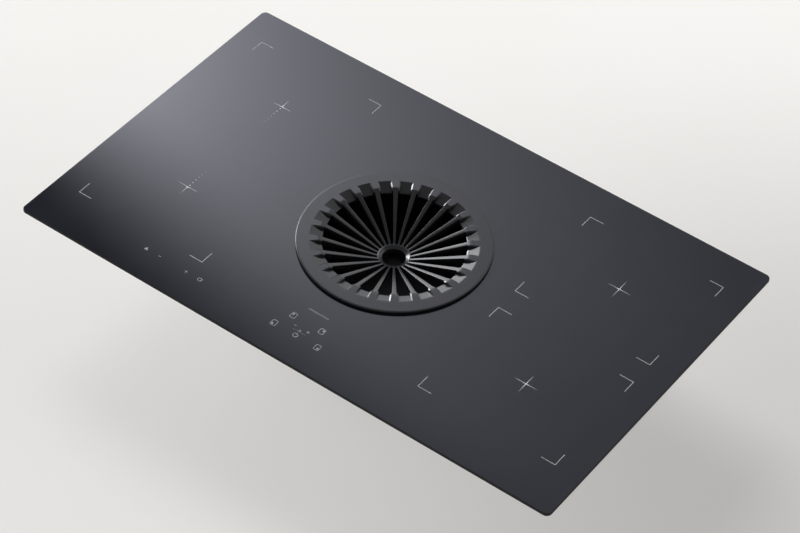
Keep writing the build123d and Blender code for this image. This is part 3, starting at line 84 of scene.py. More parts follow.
# %% The socket wrapper
class Socket:
    """One output socket of a material's graph, on which arithmetic adds Math nodes."""

    def __init__(self, tree, out):
        self.tree = tree
        self.out = out

    def node(self, kind, settings=None, output=0, **inputs):
        """Adds a node of a type, sets its settings, links or sets its inputs, returns an output.

        An input is named by its label with _ for a blank, or i0, i1, ... for its place.
        """
        made = self.tree.nodes.new(kind)
        for name, value in (settings or {}).items():
            setattr(made, name, value)
        for name, value in inputs.items():
            if name[0] == "i" and name[1:].isdigit():
                socket = made.inputs[int(name[1:])]
            else:
                socket = made.inputs[name.replace("_", " ")]
            if isinstance(value, Socket):
                self.tree.links.new(value.out, socket)
            else:
                socket.default_value = value
        return Socket(self.tree, made.outputs[output])

    def math(self, operation, *others):
        """A Math node whose first value is this socket; all of them may be sockets or numbers."""
        values = {f"i{n}": v for n, v in enumerate((self, *others))}
        return self.node("ShaderNodeMath", {"operation": operation}, **values)

    def __add__(self, other):
        return self.math("ADD", other)

    __radd__ = __add__

    def __mul__(self, other):
        return self.math("MULTIPLY", other)

    def __sub__(self, other):
        return self.math("SUBTRACT", other)

    def __rsub__(self, other):
        return (self * -1.0).math("ADD", other)

    def between(self, low, high):
        """Rises smoothly from 0 where this value is low to 1 where it is high."""
        return self.node(
            "ShaderNodeMapRange",
            {"interpolation_type": "SMOOTHSTEP"},
            Value=self, From_Min=low, From_Max=high, To_Min=0.0, To_Max=1.0,
        )

    def blend(self, first, second):
        """Mixes two colours, this value being the second one's share."""
        return self.node(
            "ShaderNodeMix", {"data_type": "RGBA"}, output=2, i0=self, i6=first, i7=second
        )


def rgb(red, green, blue):
    """A screen colour (0 to 255 each) as the linear colour that a shader works in.

    The darkest levels are divided by 12.92; the others go through a power of 2.4.
    """
    levels = np.array([red, green, blue]) / 255.0
    linear = np.where(levels <= 0.04045, levels / 12.92, ((levels + 0.055) / 1.055) ** 2.4)
    return (*[float(v) for v in linear], 1.0)


print("grey 128 is", round(rgb(128, 128, 128)[0], 4), "in linear light")

# %% [markdown]
# ## How a finish is started
#
# Each finish begins with the piece's own Object coordinates, which are metres in the CAD frame,
# because a pattern that is laid out in metres has its real size on every piece. `Finish` keeps
# the graph, offers noise at a size in metres, and closes it with one Principled shader.

# %% A finish and its helpers
class Finish:
    """One material: a graph on Object coordinates that ends in a Principled shader."""

    def __init__(self, name):
        self.material = bpy.data.materials.new(name)
        self.material.use_nodes = True
        self.tree = self.material.node_tree
        self.tree.nodes.clear()
        start = Socket(self.tree, None)
        self.place = start.node("ShaderNodeTexCoord", output="Object")
        self.x, self.y, self.z = self.axes(self.place)

    def axes(self, vector):
        """The three parts of a vector as sockets."""
        split = self.tree.nodes.new("ShaderNodeSeparateXYZ")
        self.tree.links.new(vector.out, split.inputs[0])
        return [Socket(self.tree, out) for out in split.outputs]

    def stretched(self, across, along, up):
        """Coordinates squeezed along each axis, for brushed or drawn patterns."""
        return self.place.node("ShaderNodeMapping", Vector=self.place, Scale=(across, along, up))

    def noise(self, size, detail=2.0, rough=0.5, vector=None):
        """Cloudy noise whose lumps are about size metres across, 0 to 1."""
        return self.place.node(
            "ShaderNodeTexNoise", Vector=vector or self.place, Scale=1.0 / size,
            Detail=detail, Roughness=rough,
        )

    def cells(self, size, output="Distance", vector=None):
        """Cells about size metres across: each one's distance or its random colour."""
        return self.place.node(
            "ShaderNodeTexVoronoi", output=output, Vector=vector or self.place, Scale=1.0 / size
        )

    def bump(self, height, depth, strength):
        """A Normal that follows a height of 0 to 1, depth metres deep."""
        return self.place.node(
            "ShaderNodeBump", Height=height, Distance=depth, Strength=strength
        )

    def close(self, **inputs):
        """Ends the graph in a Principled shader with these inputs and returns the material."""
        shader = self.place.node("ShaderNodeBsdfPrincipled", **inputs)
        end = self.tree.nodes.new("ShaderNodeOutputMaterial")
        self.tree.links.new(shader.out, end.inputs["Surface"])
        return self.material

# %% [markdown]
# ## The camera
#
# The photograph looks down at about 45 degrees from the front right, from far away through a
# long lens, so the plate's far edge is hardly shorter than the near one. The camera is set by
# the point it looks at, its distance, two angles and a small roll, because these are the
# numbers that a photographer would change.

# %% Camera
def orbit(aim, distance, azimuth, elevation, roll):
    """A camera's matrix: it stands at the distance from aim, in the direction of the angles."""
    turn, rise, tilt = (math.radians(v) for v in (azimuth, elevation, roll))
    back = Vector(
        (math.sin(turn) * math.cos(rise), -math.cos(turn) * math.cos(rise), math.sin(rise))
    )
    level = Vector((math.cos(turn), math.sin(turn), 0.0))
    over = back.cross(level)
    right = level * math.cos(tilt) + over * math.sin(tilt)
    up = back.cross(right)
    matrix = Matrix((right, up, back)).transposed().to_4x4()
    matrix.translation = Vector(aim) + back * distance
    return matrix


aim = (0.029329, -0.028099, 0.001321)
distance, azimuth, elevation, roll = 3.82305, 34.0314, 45.2851, 3.4268
scene = bpy.context.scene
eye = bpy.data.cameras.new("photo_camera")
eye.sensor_width = 36.0
eye.lens = 132.66
camera = bpy.data.objects.new("photo_camera", eye)
scene.collection.objects.link(camera)
camera.matrix_world = orbit(aim, distance, azimuth, elevation, roll)
scene.camera = camera
print("the camera stands at", [round(v, 3) for v in camera.matrix_world.translation])

# %% [markdown]
# ## Surfaces from arrays
#
# Every new piece is a surface worked out with numpy: a grid of points, rows by columns, whose
# two directions may each close on themselves. `grid_quads` names the four corners of each cell
# of such a grid, and `Shell` gathers several grids into one mesh.

# %% Grids into meshes
def grid_quads(rows, columns, wrap_rows=False, wrap_columns=False):
    """The cells of a grid: cell (i, j) has corners (i, j), (i, j+1), (i+1, j+1), (i+1, j)."""
    i = np.arange(rows if wrap_rows else rows - 1)[:, None]
    j = np.arange(columns if wrap_columns else columns - 1)[None, :]
    below, beside = (i + 1) % rows, (j + 1) % columns
    row, next_row = i * columns, below * columns
    corners = (row + j, row + beside, next_row + beside, next_row + j)
    return np.stack([np.broadcast_to(c, (i.size, j.size)) for c in corners], -1).reshape(-1, 4)


class Shell:
    """Gathers grids of points, and faces over them, into one mesh."""

    def __init__(self):
        self.points, self.quads, self.caps, self.values, self.count = [], [], [], [], 0

    def add(self, grid, wrap_rows=False, wrap_columns=False, ends=False, value=0.0):
        """Adds one grid of shape (rows, columns, 3); ends closes its first and last row."""
        rows, columns = grid.shape[:2]
        self.points.append(grid.reshape(-1, 3))
        self.quads.append(grid_quads(rows, columns, wrap_rows, wrap_columns) + self.count)
        self.values.append(np.broadcast_to(value, (rows, columns)).reshape(-1))
        if ends:
            first = np.arange(columns)[::-1] + self.count
            self.caps += [first.tolist(), (first[::-1] + (rows - 1) * columns).tolist()]
        self.count += rows * columns

    def piece(self, name, body, soft_angle=35.0):
        """Makes the object, shades it smooth below the angle and lets it ride on a body."""
        mesh = bpy.data.meshes.new(name)
        faces = np.concatenate(self.quads).tolist() + self.caps
        mesh.from_pydata(np.concatenate(self.points).tolist(), [], faces)
        mesh.polygons.foreach_set("use_smooth", np.ones(len(faces), bool))
        mesh.set_sharp_from_angle(angle=math.radians(soft_angle))
        fade = mesh.attributes.new("fade", "FLOAT", "POINT")
        fade.data.foreach_set("value", np.concatenate(self.values).astype(np.float32))
        mesh.update()
        made = bpy.data.objects.new(name, mesh)
        scene.collection.objects.link(made)
        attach(made, body)
        print(name, "has", len(faces), "faces")
        return made


def rounded(corners, radii, steps=5):
    """A path through corners, each rounded by an arc of its radius.

    The arc leaves each arm at radius times the tangent of half the turn, and its points are
    the corner's quadratic blend (1-t)^2 a + 2t(1-t) c + t^2 b of its two ends a and b.
    """
    corners, radii = np.asarray(corners, float), np.asarray(radii, float)
    before, after = np.roll(corners, 1, 0) - corners, np.roll(corners, -1, 0) - corners
    before /= np.linalg.norm(before, axis=1)[:, None]
    after /= np.linalg.norm(after, axis=1)[:, None]
    half = np.arccos(np.clip((before * after).sum(1), -1, 1)) / 2
    reach = (radii / np.tan(half))[:, None]
    t = np.linspace(0, 1, steps)[None, :, None]
    start, end = (corners + before * reach)[:, None], (corners + after * reach)[:, None]
    path = (1 - t) ** 2 * start + 2 * t * (1 - t) * corners[:, None] + t**2 * end
    return path.reshape(-1, 2)


def turned(profile, count):
    """Turns a closed (radius, height) profile round Z: x and y are radius times cos and sin."""
    angle = np.linspace(0, 2 * np.pi, count, endpoint=False)[:, None]
    radius, height = profile[None, :, 0], profile[None, :, 1]
    x, y = radius * np.cos(angle), radius * np.sin(angle)
    return np.stack([x, y, np.broadcast_to(height, x.shape)], -1)


print("a grid of 3 by 4 points has", len(grid_quads(3, 4)), "cells")

# %% [markdown]
# ## The cast grille
#
# The real grille is one casting in satin black enamel: a flat ring that lies on the glass, a
# short cone that dips into the throat, and 24 spokes that slope down to a small hub, where a
# finger lifts it out. All of its edges are soft, and those soft edges are what catches the
# light. The exact solid has sharp ones. A bevel modifier could round them, but where spokes run
# into the cone it makes slivers, so the grille is built again from clean closed shells that
# overlap as a weld would: one turned profile for the ring, cone and skirt, one for the hub, and
# a lofted bar for each spoke.

# %% Sizes of the grille, its solid's but for a flatter hollow in the hub
mm = 0.001
_, glass_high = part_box("glass_plate")
grille_low, grille_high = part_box("grille")
ring_top = grille_high.z
ring_outer = grille_high.x
ring_inner = 111.5 * mm
ring_bottom = ring_top - 3.2 * mm
ring_nose = 1.1 * mm
cone_inner = 95.0 * mm
cone_bottom = ring_top - 6.1 * mm
lip_bottom = cone_bottom - 2.5 * mm
skirt_outer = 112.0 * mm
skirt_inner = 109.5 * mm
skirt_bottom = ring_bottom - 6.0 * mm
hub_bottom = grille_low.z
hub_top = hub_bottom + 10.0 * mm
hub_outer = 22.0 * mm
hub_bore = 15.5 * mm
hub_hollow = 2.7 * mm
spoke_count = 24
first_spoke = math.radians(6.0)
spoke_depth = 7.9 * mm
spoke_hub_width = 2.9 * mm
slot_width = 18.6 * mm
print("the ring is", round(2000 * ring_outer, 1), "mm across")
print("its top is", round(1000 * ring_top, 1), "mm above the worktop")

# %% [markdown]
# Two lines shape the whole casting when they are carried round: the line of every spoke's top,
# and the line of every ramp. Both are straight with one soft bend, as metal leaves a mould.

# %% The lines of the spokes and of the ramps
spoke_slope = 28.2 / 76.0
flat_until = 99.0 * mm
half_slot = slot_width / 2
pitch = 2 * math.pi / spoke_count


def eased(distance, soft):
    """Nothing before 0 and the distance itself after it, with a bend about soft wide.

    It is half the sum of the distance and the root of its square plus soft's square.
    """
    return (distance + np.sqrt(distance**2 + soft**2)) / 2


def spoke_top(radius):
    """Level with the ring down to flat_until, then a straight slope down to the hub."""
    return ring_top - spoke_slope * eased(flat_until - radius, 0.8 * mm)


def ramp_top(radius):
    """The slot's outer end: a straight ramp from the ring's inner edge down to the lip."""
    fall = (ring_top - cone_bottom) / (ring_inner - cone_inner)
    return ring_top - fall * eased(ring_inner - radius, 0.25 * mm)


print("the spokes fall", round(1000 * (ring_top - spoke_top(hub_outer)), 1), "mm to the hub")

# %% [markdown]
# The top of the ring is one sheet of heights over radius and angle. Between two slots the flat
# ring runs inwards as a tongue, and a spoke leaves each tongue. In a slot the sheet drops by a
# steep wall to a ramp. The wall's top edge is a bevel of 30 degrees: it is the bright line
# beside each ramp, because it mirrors the window. Below it the wall leans out by a fifth of its
# height, as a casting's must to leave its mould.

# %% The ring with its tongues and ramps
def casting_ring(bevel_width=1.7 * mm, bevel_slope=0.577, draft=0.2):
    """One closed section (rows) carried round Z (columns), its top being tongue or ramp.

    A slot's top edges are parallel, so a column at the distance v from the slot's axis stands
    at the angle asin(v / r) from it. The top's rows crowd where it bends: at the lip, at the
    knee where the spokes start, and at the ring's inner edge. After them come the rows of the
    nose, the underside, the skirt and the lip's back, whose heights are fixed.
    """
    raised = np.array([1, 1, 1, 1, 0, 0, 0, 0, 0, 1, 1, 1], bool)
    by_lip = cone_inner + np.array([0.0, 0.1, 0.4, 2.0]) * mm
    by_knee = flat_until + np.array([-0.8, -0.3, 0.2, 0.8, 2.0, 5.0, 9.0]) * mm
    by_edge = ring_inner + np.array([-0.9, -0.3, 0.0, 0.3, 0.9, 3.5, 9.5, 15.5]) * mm
    top_r = np.concatenate([by_lip, by_knee, by_edge, [ring_outer - ring_nose]])
    lip = np.zeros(len(top_r))
    lip[:2] = np.array([0.4, 0.12]) * mm  # its edge is rounded
    nose_turn = np.linspace(0, math.pi / 2, 6)[1:]
    nose_r = ring_outer - ring_nose + ring_nose * np.sin(nose_turn)
    nose_z = ring_top - ring_nose + ring_nose * np.cos(nose_turn)
    back = np.array([
        (ring_outer, ring_bottom + 0.4 * mm), (ring_outer - 0.4 * mm, ring_bottom),
        (skirt_outer + 0.2 * mm, ring_bottom), (skirt_outer, ring_bottom - 0.2 * mm),
        (skirt_outer, skirt_bottom + 0.3 * mm), (skirt_outer - 0.3 * mm, skirt_bottom),
        (skirt_inner + 0.3 * mm, skirt_bottom), (skirt_inner, skirt_bottom + 0.3 * mm),
        (skirt_inner, ring_bottom - 0.3 * mm), (cone_inner + 0.2 * mm, lip_bottom),
        (cone_inner, lip_bottom + 0.2 * mm),
    ])
    radius = np.concatenate([top_r, nose_r, back[:, 0]])[:, None]
    fixed = np.concatenate([np.full(len(top_r), np.nan), nose_z, back[:, 1]])[:, None]
    lip = np.concatenate([lip, np.zeros(len(nose_r) + len(back))])[:, None]

    wall = np.clip(spoke_top(radius) - ramp_top(radius), 0, None)
    hair = 0.02 * mm
    bevel = np.clip(wall / bevel_slope, hair, bevel_width)
    foot = half_slot - bevel - np.clip(draft * (wall - bevel_slope * bevel), hair, None)
    axis = np.zeros_like(bevel)
    edges = [axis + half_slot + 0.2 * mm, axis + half_slot, half_slot - bevel, foot,
             axis + 5.2 * mm]
    left, right = np.concatenate(edges, 1), np.concatenate(edges[::-1], 1)
    lateral = np.concatenate([axis, -left, axis, right], 1)
    dip = np.zeros(lateral.shape)
    dip[:, [3, 9]] = bevel_slope * bevel

    ramp = ramp_top(radius) - lip
    tongue = np.maximum(spoke_top(radius) - dip, ramp_top(radius))
    top = np.where(raised[None, :], tongue, ramp)
    height = np.where(np.isnan(fixed), top, fixed)
    slot_axis = first_spoke + (np.arange(spoke_count) + 0.5) * pitch
    from_axis = np.arcsin(lateral / radius)
    from_axis[:, 0] = -pitch / 2
    angle = slot_axis[None, :, None] + from_axis[:, None, :]
    out = np.broadcast_to(radius[:, :, None], angle.shape)
    up = np.broadcast_to(height[:, None, :], angle.shape)
    grid = np.stack([out * np.cos(angle), out * np.sin(angle), up], -1)
    return grid.reshape(len(radius), -1, 3)


def casting_hub():
    """The hub's section turned about Z: a rounded rim and a hollow that guides a fingertip."""
    corners = [
        (hub_outer, hub_bottom), (hub_outer, hub_top), (hub_outer - 1.4 * mm, hub_top + 0.4 * mm),
        (hub_bore, hub_top - hub_hollow), (hub_bore, hub_bottom),
    ]
    radii = np.array([0.6, 0.5, 0.5, 1.2, 0.6]) * mm
    return turned(rounded(corners, radii), 144)[:, ::-1]


# %% [markdown]
# A spoke is a bar that stands upright under the common line and narrows towards the hub. An
# extruded box could be bent to that line, but a loft says it directly: one section at each
# station along the radius, each section one row of the grid.

# %% One spoke, lofted
def spoke_bar(angle, edge=0.4 * mm):
    """A bar along a radius: at each station a section stands under the spokes' common line.

    It is as wide as its tongue at the lip and tapers evenly to the hub. The section is a flat
    top with two rounded edges, upright flanks, and a foot that is a tenth narrower. Its top
    lies a hair under the tongue's, so that the two never flicker.
    """
    inwards = np.linspace(hub_outer - 1.6 * mm, cone_inner - 5.0 * mm, 24)
    stations = np.concatenate([inwards, cone_inner + np.linspace(-4.0, 0.3, 6) * mm])
    at_lip = pitch * cone_inner - slot_width
    ends = [hub_outer - 1.0 * mm, cone_inner]
    width = np.interp(stations, ends, [spoke_hub_width, at_lip])[:, None]
    level = spoke_top(stations)[:, None] - 0.02 * mm
    turn = np.linspace(0, math.pi / 2, 5)[None, :]
    right = width / 2 - edge + edge * np.cos(turn)
    rise = level - edge + edge * np.sin(turn)
    foot = level - spoke_depth
    side = np.concatenate([width * 0.45, right, -right[:, ::-1], -width * 0.45], 1)
    height = np.concatenate([foot, rise, rise[:, ::-1], foot], 1)
    out = np.broadcast_to(stations[:, None], side.shape)
    x = out * math.cos(angle) - side * math.sin(angle)
    y = out * math.sin(angle) + side * math.cos(angle)
    return np.stack([x, y, height], -1)


casting = Shell()
casting.add(casting_ring(), wrap_rows=True, wrap_columns=True)
casting.add(casting_hub(), wrap_rows=True, wrap_columns=True)
for number in range(spoke_count):
    bar = spoke_bar(first_spoke + number * pitch)
    casting.add(bar, wrap_columns=True, ends=True)
grille = casting.piece("cast_grille", "grille", soft_angle=29.0)
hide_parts("grille")

# %% [markdown]
# ## Printed marks
#
# The cooking zones are drawn on the glass as thin pale lines: four corner brackets each, a
# cross in the middle, and a dotted line that joins the two left zones into one. The print is a
# glaze a few hundredths of a millimetre thick, fired onto the glass. A texture could draw it,
# but lines under a millimetre wide need either an image or a heavy formula, so each line is a
# flat band of its real width that stands 0.05 mm proud. A number on each point, `fade`, tells
# the finish how far the ink has thinned out: 0 is plain ink, 1 is bare glass, and -1 is the
# densest ink, in the middle of a cross.

# %% Bands of ink
ink_low, ink_high = glass_high.z - 0.05 * mm, glass_high.z + 0.05 * mm


def band(path, width, closed, fade):
    """A flat band along a path of (x, y) points in mm: four points per station, mitred corners.

    A station's offset is width / 2 along the bisector of its two arms, divided by the cosine
    of half the turn, so that the band keeps its width round a corner.
    """
    path = np.asarray(path, float) * mm
    ahead = np.roll(path, -1, 0) - path
    behind = path - np.roll(path, 1, 0)
    if not closed:
        ahead[-1], behind[0] = behind[-1], ahead[0]
    ahead /= np.linalg.norm(ahead, axis=1)[:, None]
    behind /= np.linalg.norm(behind, axis=1)[:, None]
    middle = ahead + behind
    middle /= np.linalg.norm(middle, axis=1)[:, None]
    widen = 1 / np.maximum((middle * ahead).sum(1), 0.4)
    offset = np.stack([-middle[:, 1], middle[:, 0]], 1) * (widen * width * mm / 2)[:, None]
    loop = [(path - offset, ink_low), (path + offset, ink_low)]
    loop += [(path + offset, ink_high), (path - offset, ink_high)]
    grid = [np.column_stack([flat, np.full(len(flat), level)]) for flat, level in loop]
    fades = np.broadcast_to(np.asarray(fade, float).reshape(-1, 1), (len(path), 4))
    return np.stack(grid, 1), fades


print("the ink stands", round(1000 * (ink_high - glass_high.z), 3), "mm proud of the glass")


def ink(shell, path, width, closed=False, fade=0.0):
    """Adds one band to a shell of marks."""
    grid, fades = band(path, width, closed, fade)
    shell.add(grid[:, ::-1], wrap_rows=closed, wrap_columns=True, ends=not closed, value=fades)


def circle(x, y, radius, start, stop, count=33):
    """Points on an arc about (x, y), the angles in degrees."""
    turn = np.radians(np.linspace(start, stop, count))
    return np.stack([x + radius * np.cos(turn), y + radius * np.sin(turn)], 1)


def brackets(shell, left, right, front, back, arm=20.6, width=1.0):
    """Four L-shaped corners of a zone."""
    for x, to_x in ((left, 1), (right, -1)):
        for y, to_y in ((front, 1), (back, -1)):
            ink(shell, [(x + to_x * arm, y), (x, y), (x, y + to_y * arm)], width)


all_arms = ((1, 0), (-1, 0), (0, 1), (0, -1))


def cross(shell, x, y, arms=all_arms, arm=20.0, width=0.9):
    """Arms from a centre, bright in the middle and thinning out to nothing."""
    reach = np.linspace(0.45, arm, 12)
    fade = np.interp(reach / arm, [0.0, 0.25, 1.0], [-1.0, -0.2, 1.0])
    for step_x, step_y in arms:
        path = np.stack([x + step_x * reach, y + step_y * reach], 1)
        ink(shell, path, width, fade=fade)


def dots(shell, x, start, stop, pitch=6.5, size=0.72):
    """A row of round dots along Y, fainter towards its end."""
    count = int(abs(stop - start) / pitch) + 1
    for number in range(count):
        y = start + math.copysign(pitch * number, stop - start)
        ring = circle(x, y, size * 0.5, 0, 330, 12)
        ink(shell, ring, size, closed=True, fade=-0.8 + 1.7 * number / count)


# Places are in mm from the plate's middle; a zone's four are its left, right, front and back.
left_zone = (-381.0, -173.0, -185.5, 201.7)
right_back_zone = (173.3, 380.6, 26.7, 201.1)
right_front_zone = (173.3, 380.6, -185.5, -11.1)
left_x, left_back_y, left_front_y = -276.2, 113.9, -88.3
right_x, right_back_y, right_front_y = 276.7, 113.6, -98.0
zone_marks = Shell()
for zone in (left_zone, right_back_zone, right_front_zone):
    brackets(zone_marks, *zone)
cross(zone_marks, left_x, left_back_y, all_arms[:3])
cross(zone_marks, left_x, left_front_y, all_arms[:2] + all_arms[3:])
cross(zone_marks, right_x, right_back_y)
cross(zone_marks, right_x, right_front_y)
dots(zone_marks, left_x, 109.6, 69.9)
dots(zone_marks, left_x, -84.4, -44.3)
zones = zone_marks.piece("zone_marks", "hob")

# %% [markdown]
# ## Control symbols
#
# At the front edge are the touch controls: in the middle a zone picker of four rounded squares,
# a switch symbol and a slider between a minus and a plus, and at the left the fan's own row.
# Behind the picker runs a row of short strokes. They are generic signs, drawn with the same
# bands of ink at their printed sizes.

# %% Control marks
def picker(shell, x, y, filled_x, filled_y, wide=7.4, tall=9.2):
    """A rounded rectangle whose one quarter is filled, which says which zone it picks."""
    corners = [(x - wide / 2, y - tall / 2), (x + wide / 2, y - tall / 2),
               (x + wide / 2, y + tall / 2), (x - wide / 2, y + tall / 2)]
    ink(shell, rounded(corners, np.full(4, 1.6), 4), 0.6, closed=True)
    spot_x, spot_y = x + filled_x * wide * 0.2, y + filled_y * tall * 0.2
    ink(shell, [(spot_x - 1.1, spot_y), (spot_x + 1.1, spot_y)], 2.6)


def switch_sign(shell, x, y, radius=3.4):
    """The usual standby sign: an open ring with a short bar in its gap."""
    ink(shell, circle(x, y, radius, 125, 415), 0.7)
    ink(shell, [(x, y + radius * 0.25), (x, y + radius * 1.25)], 0.7)


def minus_sign(shell, x, y, half=1.9):
    """A short bar along X."""
    ink(shell, [(x - half, y), (x + half, y)], 0.65)


def plus_sign(shell, x, y, half=2.2):
    """Two short bars that cross; the upright one is in two parts, so nothing overlaps."""
    ink(shell, [(x - half, y), (x + half, y)], 0.65)
    for side in (-1, 1):
        ink(shell, [(x, y + side * 0.33), (x, y + side * half)], 0.65)


def fan_sign(shell, x, y, size=2.6):
    """Three round blades about a hub, for the extraction."""
    for number in range(3):
        turn = math.radians(90 + 120 * number)
        blade = circle(x + 0.55 * size * math.cos(turn), y + 0.55 * size * math.sin(turn),
                       0.24 * size, 0, 330, 12)
        ink(shell, blade, 0.5 * size, closed=True)


# Rows are named by their place along Y, in mm from the plate's middle.
picker_back, picker_front, sign_row, slider_row = -186.2, -211.7, -198.5, -204.7
fan_row, stroke_front, stroke_back = -211.4, -165.6, -163.2
control_marks = Shell()
picker(control_marks, -22.2, picker_back, -1, 1)
picker(control_marks, 23.1, picker_back, 1, 1)
picker(control_marks, -33.9, picker_front, -1, -1)
picker(control_marks, 35.4, picker_front, 1, -1)
switch_sign(control_marks, 0.5, picker_front - 0.2)
ink(control_marks, circle(0.5, -202.6, 1.3, 0, 330, 12), 0.5, closed=True)
minus_sign(control_marks, -10.0, sign_row + 0.1)
plus_sign(control_marks, 10.3, sign_row - 0.1)
for number in range(10):
    dash = [(-8.4 + 2 * number, slider_row), (-7.6 + 2 * number, slider_row)]
    ink(control_marks, dash, 0.55, fade=0.25)
fan_sign(control_marks, -244.3, fan_row)
minus_sign(control_marks, -222.2, fan_row)
plus_sign(control_marks, -177.8, fan_row)
switch_sign(control_marks, -155.3, fan_row, 2.9)
for number in range(19):
    across = -14.0 + 1.7 * number
    ink(control_marks, [(across, stroke_front), (across, stroke_back)], 0.85, fade=0.45)
controls = control_marks.piece("control_marks", "hob")

# %% [markdown]
# ## Finish of the glass
#
# Glass ceramic is dyed through and through and polished, so the plate is nearly black and
# mirrors the room sharply. What is seen on it in the picture is not its own colour but a soft
# bright card that hangs over the far left side: pale grey at the left, slate at the right. The
# finish itself stays plain: a deep blue-black, a very low roughness with the faint waviness of
# rolled glass, and a few handling smears so fine that only a close look finds them.
# Only the plate's side is painted near black: painted shade.

# %% Glass ceramic and its print
def glass_finish():
    """Blue-black body colour; roughness 0.045 to 0.075 in slow clouds; ripples 2 microns deep.

    Below the top face, where height falls 0.1 to 0.3 mm, the edge is ground and matt, and its
    near-black colour there is painted shade on the plate's side.
    """
    made = Finish("glass_ceramic")
    cloud = made.noise(0.09, 4.0, 0.6).between(0.35, 0.75)
    smear = made.noise(0.012, 3.0, 0.5, made.stretched(0.35, 1.0, 1.0)).between(0.55, 0.8)
    tone = cloud.blend(rgb(24, 25, 30), rgb(27, 28, 33))
    wave = made.noise(0.05, 1.0)
    # top is 1 on the top face; below it the colour rgb(6, 6, 7) is painted shade on the side
    top = made.z.between(glass_high.z - 0.3 * mm, glass_high.z - 0.1 * mm)
    polish = cloud * 0.02 + smear * 0.012 + 0.045
    return made.close(
        Base_Color=top.blend(rgb(6, 6, 7), tone), Roughness=polish * top + (1 - top) * 0.75,
        IOR=1.52, Normal=made.bump(wave, 0.000002, 0.25),
    )


def print_finish():
    """Fired pale glaze; where its fade nears 1 it takes the glass's own colour and polish."""
    made = Finish("fired_print")
    faded = made.place.node("ShaderNodeAttribute", {"attribute_name": "fade"}, output="Fac")
    grain = made.noise(0.0009, 2.0).between(0.2, 0.9)
    pale = grain.blend(rgb(138, 139, 143), rgb(158, 159, 162))
    dense = faded.between(-1.0, 0.0).blend(rgb(236, 237, 240), pale)
    bare = faded.between(0.0, 1.0)
    tone = bare.blend(dense, rgb(25, 26, 31))
    rough = (grain * 0.1 + 0.26) * (1 - bare) + 0.06
    return made.close(Base_Color=tone, Roughness=rough, IOR=1.52)


glass_material, print_material = glass_finish(), print_finish()
for marks in (zones, controls):
    marks.data.materials.append(print_material)
    print(marks.name, "is printed with", print_material.name)

# %% [markdown]
# ## Finish of the casting
#
# The grille is enamelled: a smooth skin of black glass over the casting. It flows a little
# before it sets, so it has no sharp grain, only a gentle orange peel. It mirrors the room as
# the plate does, only softer, so its ring melts into the plate while each ramp and each wall,
# turned another way, shows another part of the room.

# %% Satin enamel
def enamel_finish():
    """Near-black colour, roughness 0.15 to 0.2, orange peel 1.6 mm wide, microns deep."""
    made = Finish("cast_black")
    peel = made.noise(0.0016, 3.0, 0.55)
    cloud = made.noise(0.03, 2.0).between(0.3, 0.7)
    tone = cloud.blend(rgb(28, 28, 30), rgb(34, 34, 36))
    return made.close(
        Base_Color=tone, Roughness=cloud * 0.05 + 0.15, IOR=1.5,
        Normal=made.bump(peel, 0.000008, 0.3),
    )


grille.data.materials.append(enamel_finish())
print(grille.name, "is coated with", grille.data.materials[0].name)

# %% [markdown]
# ## Finishes of the hidden works
#
# Seen from below or from the side the cooktop is a machine: galvanised and black sheet metal,
# glass-filled nylon, a plastic impeller, copper coils, green boards. Each material slot of the
# record gets one finish, made by a few families of formula, and every CAD node takes the finish
# of its slot. The numbers of a family are what sets one finish apart from the next.

# %% Metal families
def sheet_metal(name, light, dark, size, rough=0.38):
    """Galvanised sheet: zinc crystals are cells of size metres, each lighter or duller."""
    made = Finish(name)
    crystal = made.cells(size, "Color")
    level = made.axes(crystal)[0]
    drift = made.noise(0.05, 3.0).between(0.3, 0.7)
    scratch = made.noise(0.004, 4.0, 0.6, made.stretched(0.08, 1.0, 1.0)).between(0.45, 0.75)
    tone = (level * 0.7 + drift * 0.3).blend(dark, light)
    return made.close(
        Base_Color=tone, Metallic=1.0, Roughness=level * 0.12 + scratch * 0.08 + rough,
        Normal=made.bump(level, 0.00002, 0.25),
    )


def brushed_metal(name, light, dark, stretch=(0.03, 1.0, 1.0), rough=0.28, grain=0.0012):
    """Drawn or turned metal: fine noise stretched along one axis darkens and roughens it."""
    made = Finish(name)
    line = made.noise(grain, 4.0, 0.65, made.stretched(*stretch))
    drift = made.noise(0.03, 2.0).between(0.3, 0.7)
    tone = line.between(0.3, 0.7).blend(dark, light)
    return made.close(
        Base_Color=tone, Metallic=1.0, Roughness=line * 0.16 + drift * 0.05 + rough,
        Normal=made.bump(line, 0.000015, 0.35),
    )


def painted_metal(name, tone_a, tone_b, rough=0.42, peel=0.0012, bend=1.5):
    """Powder coat: a fine orange peel, and colour that drifts slightly over a hand's breadth."""
    made = Finish(name)
    drift = made.noise(0.045, 3.0).between(0.3, 0.7)
    skin = made.noise(peel, 3.0, 0.6)
    return made.close(
        Base_Color=drift.blend(tone_a, tone_b), Roughness=skin * 0.12 + rough, IOR=bend,
        Normal=made.bump(skin, 0.00003, 0.4),
    )


# %% [markdown]
# Plastic, rubber and boards hardly mirror the room, so their grain tells them apart: the pits
# of a spark-eroded mould, the open cells of foam, a filter's strands, a board's tracks. An
# image could show each, but a noise, cell or sine pattern has its real size on every piece and
# no end, and it drives the bump and a little of the colour.

# %% Plastic, rubber and board families
def moulded_plastic(name, tone_a, tone_b, rough=0.48, grain=0.0009, depth=0.00003):
    """Spark-eroded mould texture: tiny cells of height, with a slow drift in tone and shine."""
    made = Finish(name)
    drift = made.noise(0.04, 3.0).between(0.3, 0.7)
    pits = made.cells(grain).between(0.1, 0.7)
    flow = made.noise(0.02, 2.0, 0.5, made.stretched(1.0, 0.25, 1.0))
    return made.close(
        Base_Color=drift.blend(tone_a, tone_b), Roughness=flow * 0.14 + rough - 0.05, IOR=1.46,
        Normal=made.bump(pits, depth, 0.4),
    )


